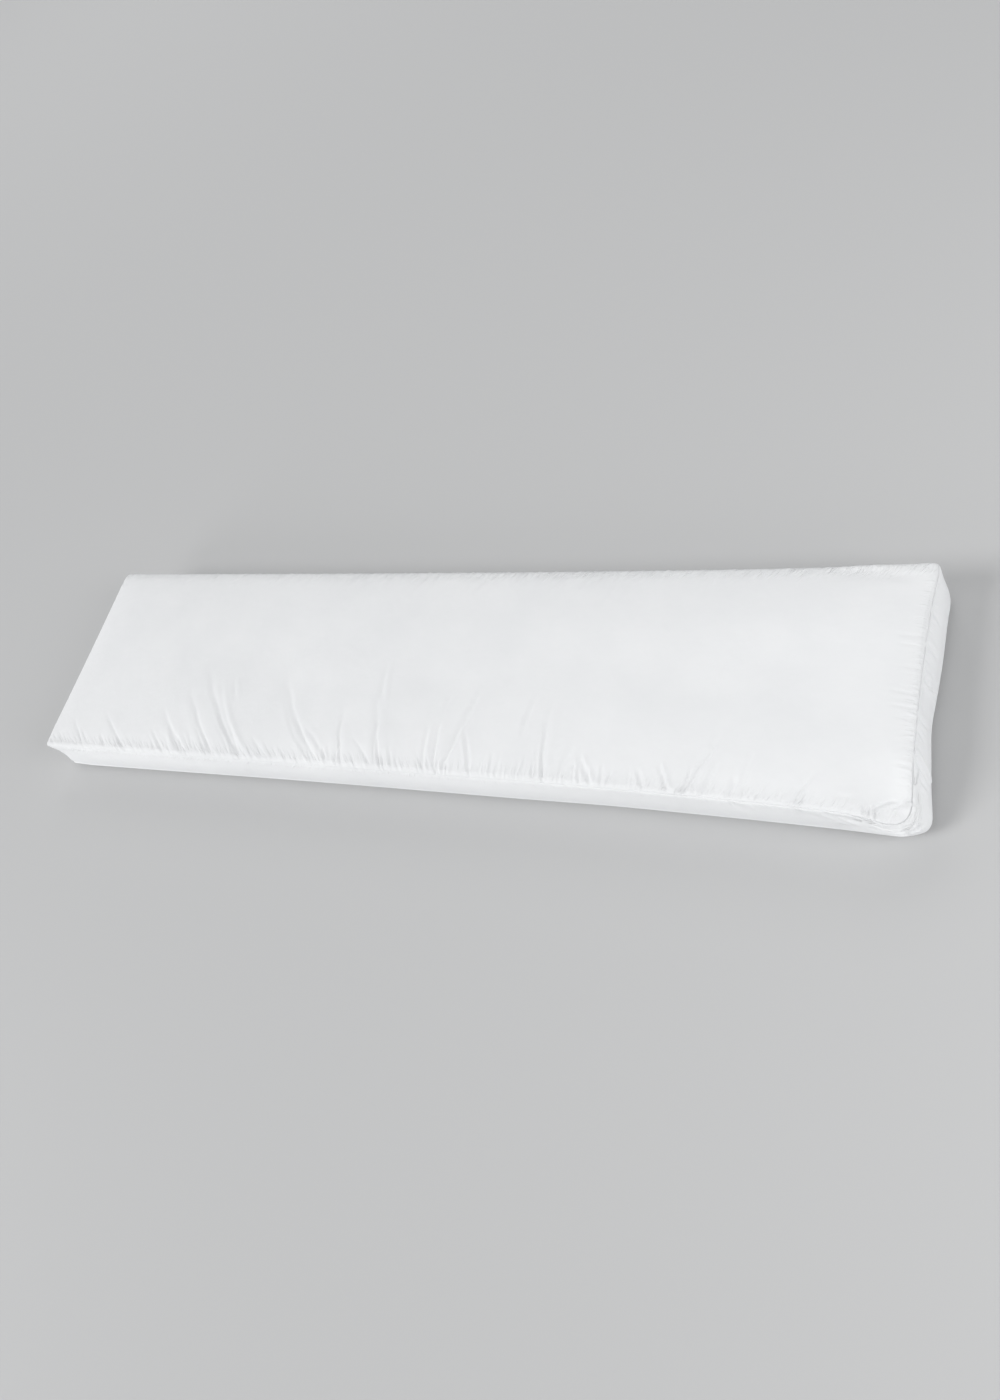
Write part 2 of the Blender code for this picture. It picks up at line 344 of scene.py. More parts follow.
def ring_out(ring, inset, foot_share, side_name, along, pinch):
    """How far a ring stands out of the seam's outline on one side."""
    side = SIDES[side_name]
    swollen = side.bulge * (1 - np.abs(along) ** BULGE_SQUARENESS) - pinch
    tuck = side.tuck_start + (side.tuck_end - side.tuck_start) * (along + 1) / 2
    puff = puffed(side_name, along) * min(1.0, ring.swell + foot_share)
    return ring.swell * swollen - inset - tuck * foot_share + puff


fullest = max(BAND_RINGS, key=lambda ring: ring.swell)
stands_out = {name: round(ring_out(fullest, 0.0, 0.0, name, 0.0, 0.0) * 1000) for name in SIDES}
print("half way along each side the gusset stands out by", stands_out, "mm")

# %% Shape a ring
END_TURN = 18  # how sharply the bulge of the ends turns the corners
SIDE_TURN = 5  # the same for the long sides


def shifted_out(u, v, end_out, side_out):
    """A place on the rim, moved out of the end and of the long side. Near a corner both are felt."""
    x, y = seam_plan(u, v)
    x = x + end_out * np.sign(u) * np.abs(u) ** END_TURN
    y = y + side_out * np.sign(v) * np.abs(v) ** SIDE_TURN
    return x, y


def shoulder_ring(u, v):
    x, y = seam_plan(u, v, SHOULDER.inset)
    return np.column_stack((x, y, face_height(x, y, SHOULDER.inset)))


def band_ring(ring, u, v):
    """A ring of the band or the back. The nearer it is to the floor, the less it follows the
    corners' lift and the more it stands in with the band's foot."""
    full = full_roll(u, v)
    inset = ring.inset + (ring.full_inset - ring.inset) * full
    height = ring.height + (ring.full_height - ring.height) * full
    up_the_band = (ring.height - BACK_SEAM_HEIGHT) / (FRONT_SEAM_HEIGHT - BACK_SEAM_HEIGHT)
    head_share = min(max(up_the_band, 0), 1)
    seam_x, seam_y = seam_plan(u, v)
    pinch = sum(corner.pinch * corner_weight(corner, seam_x, seam_y) for corner in CORNERS)
    foot_share = (1 - head_share) * (ring.swell > 0)
    left, right = (ring_out(ring, inset, foot_share, name, v, pinch) for name in ("left", "right"))
    near, far = (ring_out(ring, inset, foot_share, name, u, pinch) for name in ("near", "far"))
    x, y = shifted_out(u, v, np.where(u > 0, right, left), np.where(v > 0, far, near))
    return np.column_stack((x, y, height + corner_lift(seam_x, seam_y) * head_share))


for ring in BAND_RINGS:
    if ring.name in SEWN:
        heights = [band_ring(ring, np.array([row.u]), np.array([row.v]))[0, 2] for row in CORNERS]
        print(ring.name, "at the corners:", [round(float(height) * 1000, 1) for height in heights], "mm")

# %% [markdown]
# ## One mesh from panel and rings
# The panel's outer points are the first ring, and every further ring has as many points in the same
# order, so each pair of rings is joined by a strip of quads. The back is left open for now: it will be
# closed flat where the pillow rests. Three things are kept with the points for later, as attributes:
# u, v and the way along the cloth from the front seam. A UV map holds where every thread runs, in
# metres of cloth, so that the weave lies straight on each sewn piece whatever shape the filling gives.

# %% Join the rings to the panel
BOX_MIDDLE = Vector((0.0052, 0.0009, 0.0))
PANEL_CLOTH = -0.014  # the way along the cloth that all of the panel inside its shoulder is given


def rim_order():
    """The panel's outer points in order, anticlockwise from the near left corner."""
    across = COLUMNS + 1
    near = list(range(COLUMNS))
    right = [row * across + COLUMNS for row in range(ROWS)]
    far = [ROWS * across + column for column in range(COLUMNS, 0, -1)]
    left = [row * across for row in range(ROWS, 0, -1)]
    return np.array(near + right + far + left)


def panel_faces():
    first = np.arange(ROWS)[:, None] * (COLUMNS + 1) + np.arange(COLUMNS)[None, :]
    first = first.ravel()
    return np.column_stack((first, first + 1, first + COLUMNS + 2, first + COLUMNS + 1))


def strip_faces(upper, lower):
    return np.column_stack((upper, lower, np.roll(lower, -1), np.roll(upper, -1)))


RINGS = (SHOULDER,) + BAND_RINGS
rim = rim_order()
rim_u, rim_v = panel_u[rim], panel_v[rim]
points, faces = [panel_points], [panel_faces()]
cloth_way = [np.full(len(panel_points), PANEL_CLOTH)]
ring_of = [np.zeros(len(panel_points), int)]
last = rim
for number, ring in enumerate(RINGS, start=1):
    made = shoulder_ring(rim_u, rim_v) if ring is SHOULDER else band_ring(ring, rim_u, rim_v)
    here = np.arange(len(rim)) + sum(len(part) for part in points)
    faces.append(strip_faces(last, here))
    points.append(made)
    cloth_way.append(np.full(len(rim), ring.cloth))
    ring_of.append(np.full(len(rim), number))
    last = here
points = np.concatenate(points) - np.array(BOX_MIDDLE)
faces = np.concatenate(faces)
cloth_way, ring_of = np.concatenate(cloth_way), np.concatenate(ring_of)
place_u = np.concatenate([panel_u] + [rim_u] * len(RINGS))
place_v = np.concatenate([panel_v] + [rim_v] * len(RINGS))
print("cover as cut:", len(points), "points,", len(faces), "faces")

# %% Keep the thread's run and the seams with the mesh
cover_mesh = bpy.data.meshes.new("pillow_cover")
cover_mesh.from_pydata(points.tolist(), [], faces.tolist())
for name, values in (("place_u", place_u), ("place_v", place_v), ("cloth_way", cloth_way)):
    cover_mesh.attributes.new(name, "FLOAT", "POINT").data.foreach_set("value", values)


def thread_places():
    """For each corner of each face, its place on the flat cut cloth, in metres."""
    corner_cloth = np.minimum(cloth_way[faces], 0)
    on_panel = cloth_way[faces].max(axis=1) <= 0
    panel = np.stack(
        (place_u[faces] * (LENGTH / 2 + corner_cloth), place_v[faces] * (WIDTH / 2 + corner_cloth)),
        axis=-1,
    )
    rim_points = panel_points[rim][:, :2]
    steps = np.linalg.norm(np.roll(rim_points, -1, axis=0) - rim_points, axis=1)
    way_round = np.concatenate(([0.0], np.cumsum(steps)))
    number = (faces - len(panel_points)) % len(rim)
    closing = (number == 0) & (number.max(axis=1) == len(rim) - 1)[:, None]
    along = np.where(closing, way_round[-1], way_round[number])
    band = np.stack((along, cloth_way[faces]), axis=-1)
    return np.where(on_panel[:, None, None], panel, band)


threads = cover_mesh.uv_layers.new(name="threads")
threads.data.foreach_set("uv", thread_places().ravel())

edges = np.array([edge.vertices[:] for edge in cover_mesh.edges])
ring_names = ["panel"] + [ring.name for ring in RINGS]
sewn_rings = [ring_names.index(name) for name in SEWN]
sewn_edges = (ring_of[edges[:, 0]] == ring_of[edges[:, 1]]) & np.isin(ring_of[edges[:, 0]], sewn_rings)
crease = cover_mesh.attributes.new("crease_edge", "FLOAT", "EDGE")
crease.data.foreach_set("value", sewn_edges.astype(float))

cover = bpy.data.objects.new("pillow_cover", cover_mesh)
scene.collection.objects.link(cover)
print(int(sewn_edges.sum()), "edges lie in a seam")

# %% [markdown]
# ## Fill it
# Filling is what gives cloth its tension, and Blender's Cloth modifier can do that with pressure from
# inside. Gravity is off, because the fibre carries the cover. The seams are pinned: two layers sewn
# together are stiff, and their outline is known. The cloth between them is cut a little large, as a
# sewer eases it in, so it puckers towards the seams by itself. No point may move far from where it was
# cut, so the filled pillow keeps its size. After that the modifier is gone: its result is the mesh.

# %% Run the filling
FILL_FRAMES = 20
FILL_PRESSURE = 4.0
EASE = 0.006
HELD_RINGS = ("front seam", "back seam", "back lip", "back roll", "back shoulder", "rest")


def fill_with_pressure(piece):
    """Runs the Cloth modifier for a few frames and returns how far each point moved."""
    held = piece.vertex_groups.new(name="held")
    numbers = [ring_names.index(name) for name in HELD_RINGS]
    held.add(np.flatnonzero(np.isin(ring_of, numbers)).tolist(), 1.0, "REPLACE")
    filling = piece.modifiers.new("filling", "CLOTH")
    cloth = filling.settings
    cloth.quality = 5
    cloth.mass = 0.3
    cloth.tension_stiffness = 15
    cloth.compression_stiffness = 15
    cloth.shear_stiffness = 5
    cloth.bending_stiffness = 0.3
    cloth.use_pressure = True
    cloth.uniform_pressure_force = FILL_PRESSURE
    cloth.effector_weights.gravity = 0.0
    cloth.vertex_group_mass = held.name
    cloth.shrink_min = -EASE
    filling.point_cache.frame_start = 1
    filling.point_cache.frame_end = FILL_FRAMES
    for number in range(1, FILL_FRAMES + 1):
        scene.frame_set(number)
    filled = piece.evaluated_get(bpy.context.evaluated_depsgraph_get()).data
    after = np.zeros(len(filled.vertices) * 3)
    filled.vertices.foreach_get("co", after)
    piece.modifiers.remove(filling)
    scene.frame_set(1)
    return after.reshape(-1, 3) - points


moved = np.zeros_like(points)
moved = fill_with_pressure(cover)
print("filling moves the cloth", round(float(np.abs(moved).max()) * 1000, 1), "mm at most")

# %% Keep the filled cover to its size
BAND_DEPTH = 0.0735
MOST_MOVE = 0.0025
SEAM_STIFFNESS = 0.045  # within this much of a seam its two layers hold the cloth back


def kept_within(move, most):
    """Shortens each move, the long ones by more, so that none is longer than the most."""
    length = np.linalg.norm(move, axis=1)
    return move * (most / (most + length))[:, None]


def seam_slack():
    """0 at a seam, rising to 1 where the cloth is free of its stiff double layer."""
    reach_x, reach_y = LENGTH / 2 - SHOULDER_INSET, WIDTH / 2 - SHOULDER_INSET
    from_rim = np.minimum((1 - np.abs(place_u)) * reach_x, (1 - np.abs(place_v)) * reach_y)
    from_front = np.where(cloth_way < 0, from_rim - cloth_way, cloth_way)
    from_back = np.where(cloth_way > 0, np.abs(cloth_way - BAND_DEPTH), SEAM_STIFFNESS)
    return soft_step(np.minimum(from_front, from_back) / SEAM_STIFFNESS)


moved = kept_within(moved, MOST_MOVE) * seam_slack()[:, None]
cover_mesh.vertices.foreach_set("co", (points + moved).ravel())
cover_mesh.update()
print("of that,", round(float(np.abs(moved).max()) * 1000, 1), "mm is kept")

# %% [markdown]
# ## Finer cloth
# One Subdivision Surface step rounds the facets. The seams are marked as creases, so the grooves stay
# sharp while the rolls beside them turn round. The attributes and the UV map are carried over to the
# new points. Puckers are only a few millimetres wide, but the sharpest lie along the near seam and the
# right one, so the cloth is split twice more there, and only across the puckers, which costs few faces.
# The right gusset and the slumped corner get more rings instead, for the creases that run across them.

# %% Subdivide once
finer = cover.modifiers.new("finer", "SUBSURF")
finer.levels = 1
finer.render_levels = 1
evaluated = cover.evaluated_get(bpy.context.evaluated_depsgraph_get())
fine_mesh = bpy.data.meshes.new_from_object(evaluated)
cover.modifiers.clear()
cover.data = fine_mesh
bpy.data.meshes.remove(cover_mesh)
fine_mesh.name = "pillow_cover"
print("finer cover:", len(fine_mesh.vertices), "points")

# %% Read and split the mesh
RIM = 0.999  # a u or v past this is on the rim
SAME_ROW = 1e-4  # points whose u or v differ by less are in one column or row


def read(mesh, name):
    """One of the kept numbers, for every point."""
    values = np.zeros(len(mesh.vertices))
    mesh.attributes[name].data.foreach_get("value", values)
    return values


def places(mesh):
    spots = np.zeros(len(mesh.vertices) * 3)
    mesh.vertices.foreach_get("co", spots)
    return spots.reshape(-1, 3)


def directions(mesh):
    outwards = np.zeros(len(mesh.vertices) * 3)
    mesh.vertex_normals.foreach_get("vector", outwards)
    return outwards.reshape(-1, 3)


def rim_sides(u, v):
    """Which points lie on each side of the rim."""
    return {"near": v < -RIM, "far": v > RIM, "left": u < -RIM, "right": u > RIM}


def edge_ends(mesh):
    """u, v and the way along the cloth, at both ends of every edge."""
    ends = np.zeros(len(mesh.edges) * 2, int)
    mesh.edges.foreach_get("vertices", ends)
    ends = ends.reshape(-1, 2)
    return [read(mesh, name)[ends] for name in ("place_u", "place_v", "cloth_way")]


def level(values):
    """Where both ends of an edge have the same value."""
    return np.abs(values[:, 0] - values[:, 1]) < SAME_ROW


def split_in_two(mesh, chosen):
    """Puts a point in the middle of each chosen edge, and joins these points across the faces."""
    splitting = bmesh.new()
    splitting.from_mesh(mesh)
    splitting.edges.ensure_lookup_table()
    chosen_edges = [splitting.edges[number] for number in chosen]
    bmesh.ops.subdivide_edges(splitting, edges=chosen_edges, cuts=1)
    splitting.to_mesh(mesh)
    splitting.free()


sides = rim_sides(read(fine_mesh, "place_u"), read(fine_mesh, "place_v"))
print("points on the rim:", {side: int(chosen.sum()) for side, chosen in sides.items()})

# %% Split the puckered strips
# along: the side that the strip lies on. panel: how wide it is on the panel, as a share of u or v.
# band: how far it goes down the gusset, along the cloth
Strip = namedtuple("Strip", "along panel band")
STRIPS = (
    Strip("near", 0.37, 0.026),
    Strip("right", 0.075, 0.075),
    Strip("near", 0.19, 0.012),
    Strip("right", 0.055, 0.030),
)


def strip_edges(mesh, strip):
    """The edges inside a strip that run along its seam."""
    u, v, cloth = edge_ends(mesh)
    from_side = 1 + v if strip.along == "near" else 1 - u
    runs_along = level(v if strip.along == "near" else u) & level(cloth)
    inside = (from_side.max(axis=1) < strip.panel) & (cloth.max(axis=1) < strip.band)
    return np.flatnonzero(runs_along & inside)


for strip in STRIPS:
    chosen = strip_edges(fine_mesh, strip)
    split_in_two(fine_mesh, chosen)
    print("split", len(chosen), "edges along the", strip.along, "seam")

# %% Split the right gusset's rings
# near_from: the u from where it takes in the near side. right_to: the v up to which it takes in the
# right side. start and end: along the cloth, down the gusset
Split = namedtuple("Split", "near_from right_to start end")
GUSSET_SPLITS = (
    Split(0.83, 1.00, 0.004, 0.072),
    Split(0.87, -0.60, 0.012, 0.045),
)


def gusset_edges(mesh, split):
    """The edges that run down the gusset inside a split."""
    u, v, cloth = edge_ends(mesh)
    on_right = (u.min(axis=1) > RIM) & (v.max(axis=1) <= split.right_to)
    on_near = (v.max(axis=1) < -RIM) & (u.min(axis=1) > split.near_from)
    between = (cloth.min(axis=1) > split.start) & (cloth.max(axis=1) < split.end)
    return np.flatnonzero((on_right | on_near) & level(u) & level(v) & between)


for split in GUSSET_SPLITS:
    chosen = gusset_edges(fine_mesh, split)
    split_in_two(fine_mesh, chosen)
    print("split", len(chosen), "edges down the gusset")

# %% [markdown]
# ## Gathers
# The front panel was eased into the near seam, and its spare cloth runs up from there in long soft
# gathers, leaning to the left at the left end and to the right at the right end. Each is placed from
# one row of a table, because no two are alike. A gather has a wide soft trough, and in it one
# sharper crease with a lip on one side, where the cloth folds over a little. Beside it runs a shorter
# and fainter twin, drawn with sizes of its own, and every fold sways a little on its way up. The cloth
# moves along its own normal, which also notches the roll at the seam where a gather starts.

# %% Read where every point lies
spots, outwards = places(fine_mesh), directions(fine_mesh)
u, v, cloth = (read(fine_mesh, name) for name in ("place_u", "place_v", "cloth_way"))
x, y = spots[:, 0], spots[:, 1]


def depths(relief):
    """How far a relief goes in and out, for a print."""
    return f"{-relief.min() * 1000:.1f} mm in and {relief.max() * 1000:.1f} mm out"


print("the panel has", int((cloth <= 0).sum()), "points and the gusset", int((cloth > 0).sum()))

# %% Lay the main gathers
# foot_x: where it leaves the near seam. lean: its run towards +X for each metre that it climbs. climb:
# how far up it runs. bow: how far its middle bends to +X. width and depth: of the trough. lip: -1 for a
# fold that stands up on its left, 1 on its right
Gather = namedtuple("Gather", "foot_x lean climb bow width depth lip")
GATHERS = (
    Gather(-0.700, -0.90, 0.060, 0.000, 0.013, 0.0026, -0.6),
    Gather(-0.590, -1.08, 0.080, -0.004, 0.013, 0.0030, -0.4),
    Gather(-0.434, -1.10, 0.090, -0.004, 0.015, 0.0040, 0.6),
    Gather(-0.374, -0.82, 0.140, -0.006, 0.015, 0.0036, -0.3),
    Gather(-0.312, -0.82, 0.185, -0.012, 0.018, 0.0048, -0.8),
    Gather(-0.249, -1.20, 0.050, 0.000, 0.012, 0.0030, -0.5),
    Gather(-0.138, -0.80, 0.170, -0.014, 0.016, 0.0044, 0.8),
    Gather(-0.097, -0.26, 0.120, -0.006, 0.013, 0.0030, -0.7),
    Gather(-0.029, -1.06, 0.062, 0.000, 0.012, 0.0030, -0.4),
    Gather(-0.020, -0.30, 0.175, -0.006, 0.015, 0.0028, 0.3),
    Gather(0.084, -0.10, 0.110, -0.008, 0.013, 0.0034, 0.5),
    Gather(0.090, 0.26, 0.145, -0.004, 0.015, 0.0038, 0.7),
    Gather(0.272, -0.10, 0.140, -0.005, 0.013, 0.0038, -0.8),
    Gather(0.302, 0.42, 0.060, 0.000, 0.012, 0.0036, 0.3),
    Gather(0.483, 0.43, 0.120, 0.005, 0.014, 0.0060, 0.4),
    Gather(0.641, 0.52, 0.056, 0.000, 0.012, 0.0052, 0.6),
)
print(len(GATHERS), "gathers run up from the near seam")

# %% Give each gather a fainter twin
TWIN_SEED = 5
TWIN_ASIDE = (0.008, 0.015)
TWIN_LEAN = 0.15  # it leans this much more or less at most
TWIN_CLIMB = (0.35, 0.75)  # its share of the gather's climb
TWIN_WIDTH = 0.6
TWIN_DEPTH = (0.3, 0.6)
twins = random.Random(TWIN_SEED)


def twin(gather):
    """A shorter, fainter fold that runs beside a gather."""
    aside = twins.choice((-1, 1)) * twins.uniform(*TWIN_ASIDE)
    return gather._replace(
        foot_x=gather.foot_x + aside,
        lean=gather.lean + twins.uniform(-TWIN_LEAN, TWIN_LEAN),
        climb=gather.climb * twins.uniform(*TWIN_CLIMB),
        width=gather.width * TWIN_WIDTH,
        depth=gather.depth * twins.uniform(*TWIN_DEPTH),
        lip=-gather.lip,
    )


FOLDS = GATHERS + tuple(twin(gather) for gather in GATHERS)
print("with their twins there are", len(FOLDS), "folds")

# %% The shape of a fold
RIDGE_AT = 1.8  # in half widths, from the middle of the trough
RIDGE_RISE = 0.52


def bend(bow, way):
    """How far a fold is bent aside on its way: by its bow in the middle, and not at all at its ends."""
    return 4 * bow * way * (1 - way)


def trough(across, lip=0.0):
    """A fold's cross-section, from -1 in its middle to the ridges on both sides. across is in half
    widths, and a lip of -1 or 1 puts all of the ridge on one side."""
    left = (1 - lip) * np.exp(-((across + RIDGE_AT) ** 2))
    right = (1 + lip) * np.exp(-((across - RIDGE_AT) ** 2))
    return RIDGE_RISE * (left + right) - np.exp(-across * across)


print("beside a fold 1 mm deep, its ridges are", round(float(trough(RIDGE_AT)), 2), "mm high")

# %% The relief of the gathers
SOFT_SHARE = 0.36  # of a gather's depth, for its wide trough
CREASE_SHARE = 0.34  # and for the crease in it
CREASE_WIDTH = 0.30  # as a share of the trough's width
CREASE_SOFTENS = 0.6  # a crease is this much wider at its top
FADE_POWER = 0.8  # below 1, a fold stays deep for longer on its way up
SOFT_FADES = 0.35  # the wide trough is this much shallower again at its top
SWAY = 0.0022  # how far to each side a fold sways at its top
SWAY_LENGTH = 0.009  # how far it climbs for each radian of that
SWAY_SHIFT = 90  # so that no two folds sway alike


def gather_relief(x, y):
    total = np.zeros(len(x))
    for gather in FOLDS:
        up = (y + WIDTH / 2) / gather.climb
        middle = gather.foot_x + gather.lean * gather.climb * up + bend(gather.bow, up)
        sway = np.sin(up * gather.climb / SWAY_LENGTH + gather.foot_x * SWAY_SHIFT)
        middle = middle + SWAY * up * sway
        across = (x - middle) / math.hypot(1, gather.lean) / (gather.width / 2)
        up = np.clip(up, 0, 1)
        fade = np.cos(math.pi / 2 * up) ** FADE_POWER
        total += gather.depth * SOFT_SHARE * (fade * (1 - SOFT_FADES * up)) * trough(across)
        crease_width = CREASE_WIDTH * (1 + CREASE_SOFTENS * up)
        total += gather.depth * CREASE_SHARE * fade * trough(across / crease_width, gather.lip)
    return total


gathered = np.where(cloth <= 0, gather_relief(x, y), 0.0)
print("the gathers go", depths(gathered))

# %% [markdown]
# ## Creases of their own
# The smaller folds have a table of their own: short ones high on the panel and between the gathers,
# some from the right and far seams, and the fan of folds at the near right corner, where the filling is
# thin and the cloth slumps over its own seam. A brush in Sculpt Mode could draw them, but its strokes
# can't be changed one by one later. Each row of the table is one crease from a start to an end, with a
# bow, and can be moved without touching the others.

# %% Lay the other creases
# start and end: 1 where the crease is at its full depth there, and 0 where it fades out. A depth under
# 0 is a soft ridge
Crease = namedtuple("Crease", "x y to_x to_y bow width depth lip start end")
CREASES = (
    # high on the panel
    Crease(-0.365, -0.090, -0.392, -0.040, 0.002, 0.008, 0.0010, -0.5, 0, 0),
    Crease(-0.050, -0.085, -0.068, -0.005, 0.004, 0.008, 0.0012, -0.6, 0, 0),
    Crease(0.066, -0.085, 0.074, -0.055, 0.000, 0.007, 0.0010, 0.4, 0, 0),
    Crease(0.100, -0.125, 0.126, -0.042, -0.003, 0.008, 0.0014, 0.5, 0, 0),
    Crease(0.219, -0.124, 0.230, -0.052, 0.002, 0.008, 0.0015, 0.3, 0, 0),
    Crease(0.293, -0.180, 0.313, -0.130, 0.000, 0.011, 0.0015, 0.5, 0, 0),
    Crease(0.571, -0.164, 0.585, -0.122, 0.000, 0.008, 0.0010, 0.3, 0, 0),
    # between the gathers, from the near seam
    Crease(-0.301, -0.194, -0.423, -0.036, 0.015, 0.0080, 0.0012, -0.6, 1, 0),
    Crease(-0.455, -0.194, -0.505, -0.140, 0.003, 0.0070, 0.0009, 0.5, 1, 0),
    Crease(-0.126, -0.194, -0.198, -0.128, -0.003, 0.0075, 0.0012, 0.5, 1, 0),
    Crease(-0.152, -0.194, -0.208, -0.146, 0.002, 0.0065, 0.0008, -0.5, 1, 0),
    Crease(0.058, -0.192, 0.048, -0.108, 0.002, 0.0075, 0.0011, -0.5, 1, 0),
    Crease(0.143, -0.192, 0.113, -0.112, -0.003, 0.0075, 0.0012, 0.4, 1, 0),
    Crease(0.258, -0.192, 0.250, -0.130, 0.001, 0.0065, 0.0008, 0.5, 1, 0),
    Crease(0.350, -0.192, 0.322, -0.146, 0.000, 0.0075, 0.0018, -0.4, 1, 0),
    Crease(0.432, -0.190, 0.417, -0.160, 0.000, 0.0065, 0.0014, 0.5, 1, 0),
    Crease(0.467, -0.188, 0.448, -0.150, 0.000, 0.0065, 0.0014, -0.4, 1, 0),
    Crease(0.517, -0.192, 0.536, -0.142, 0.000, 0.0070, 0.0018, 0.3, 1, 0),
    Crease(0.558, -0.192, 0.566, -0.162, 0.000, 0.0065, 0.0016, -0.3, 1, 0),
    # from the right seam
    Crease(0.792, 0.072, 0.746, 0.074, 0.001, 0.0060, 0.0005, 0.5, 1, 0),
    Crease(0.792, 0.056, 0.752, 0.059, 0.000, 0.0050, 0.0005, -0.5, 1, 0),
    Crease(0.792, 0.022, 0.762, 0.024, 0.000, 0.0055, 0.0006, 0.3, 1, 0),
    Crease(0.792, -0.018, 0.744, -0.012, 0.001, 0.0060, 0.0005, 0.5, 1, 0),
    Crease(0.792, -0.040, 0.750, -0.036, 0.000, 0.0050, 0.0006, -0.5, 1, 0),
    Crease(0.792, -0.057, 0.762, -0.053, 0.001, 0.0050, 0.0005, 0.4, 1, 0),
    Crease(0.794, -0.124, 0.768, -0.122, 0.000, 0.0060, 0.0007, 0.3, 1, 0),
    # down from the far seam
    Crease(-0.160, 0.188, -0.182, 0.150, 0.000, 0.008, 0.0012, 0.4, 0.5, 0),
    Crease(-0.052, 0.188, -0.074, 0.143, 0.000, 0.008, 0.0013, 0.4, 0.5, 0),
    Crease(-0.028, 0.188, -0.045, 0.148, 0.000, 0.008, 0.0012, -0.4, 0.5, 0),
    Crease(0.072, 0.186, 0.052, 0.146, 0.000, 0.009, 0.0010, 0.4, 0.5, 0),
    Crease(0.214, 0.186, 0.188, 0.142, 0.002, 0.009, 0.0013, 0.4, 0.5, 0),
    Crease(0.314, 0.186, 0.296, 0.118, 0.002, 0.010, 0.0012, 0.4, 0.5, 0),
    Crease(0.340, 0.186, 0.330, 0.132, 0.000, 0.009, 0.0010, -0.4, 0.5, 0),
    Crease(0.470, 0.186, 0.456, 0.130, 0.002, 0.010, 0.0012, 0.4, 0.5, 0),
    # the slumped near right corner: a fold runs in from the right seam and meets an arc, below them the
    # cloth stands up a little, and the arc ends in a knot of puckers where the near seam dips
    Crease(0.7980, -0.1600, 0.7705, -0.1785, 0.0010, 0.0042, 0.0026, 0.7, 1, 0),
    Crease(0.7500, -0.1850, 0.7790, -0.1680, 0.0036, 0.0048, 0.0020, -0.8, 0.6, 0),
    Crease(0.7620, -0.1870, 0.7850, -0.1850, 0.0000, 0.0200, -0.0012, 0.0, 0, 0),
    Crease(0.7390, -0.1975, 0.7380, -0.1835, 0.0000, 0.0040, 0.0014, 0.5, 1, 0),
    Crease(0.7455, -0.1980, 0.7440, -0.1800, 0.0010, 0.0042, 0.0021, -0.5, 1, 0),
    Crease(0.7520, -0.1980, 0.7500, -0.1860, 0.0000, 0.0036, 0.0018, 0.4, 1, 0),
    Crease(0.6970, -0.1775, 0.7310, -0.1745, 0.0000, 0.0070, 0.0006, 0.3, 0, 0),
    # the far right corner: a soft ridge runs into it, with a hollow below
    Crease(0.630, 0.184, 0.778, 0.171, 0.000, 0.0180, 0.0024, 0.7, 0, 0),
)
print(len(CREASES), "creases lie on the face")

# %% The relief of a crease
RISES_OVER = 0.4  # the share of its run over which a crease or a pucker comes in
FALLS_OVER = 0.5  # and the share over which a crease goes out
PAST_ITS_ENDS = 0.15  # how far past its ends, as a share of its run, a crease is worked out
WIDTHS_ASIDE = 3  # and how far aside, in its own widths
END_SOFTNESS = 0.004


def crease_relief(x, y, rows):
    """The relief of straight or bowed creases at places x and y."""
    total = np.zeros(len(x))
    for row in rows:
        run = np.array((row.to_x - row.x, row.to_y - row.y))
        length = float(np.hypot(*run))
        way = ((x - row.x) * run[0] + (y - row.y) * run[1]) / length**2
        aside = ((y - row.y) * run[0] - (x - row.x) * run[1]) / length
        close = (way > -PAST_ITS_ENDS) & (way < 1 + PAST_ITS_ENDS)
        close &= np.abs(aside) < WIDTHS_ASIDE * row.width + abs(row.bow)
        way, aside = way[close], aside[close]
        inside = np.clip(way, 0, 1)
        aside = aside - bend(row.bow, inside)
        rise_in = row.start + (1 - row.start) * quarter_wave(way / RISES_OVER)
        fall_out = row.end + (1 - row.end) * quarter_wave((1 - way) / FALLS_OVER)
        beyond = np.maximum(np.maximum(-way, way - 1), 0) * length
        past = np.exp(-((beyond / END_SOFTNESS) ** 2))
        fold = trough(aside / (row.width / 2), row.lip)
        total[close] += row.depth * rise_in * fall_out * past * fold
    return total


creased = np.where(cloth <= 0, crease_relief(x, y, CREASES), 0.0)
print("the creases go", depths(creased))

# %% [markdown]
# ## Short puckers
# The stitches draw the cloth together a little, so short puckers stand along every seam. There are
# hundreds, too many to place by hand, and an Array modifier would repeat one of them like the teeth of
# a comb. So each row of this table gives a stretch of seam and how close, long and deep its puckers
# are, and each pucker is drawn at random round these sizes, with a fixed seed.

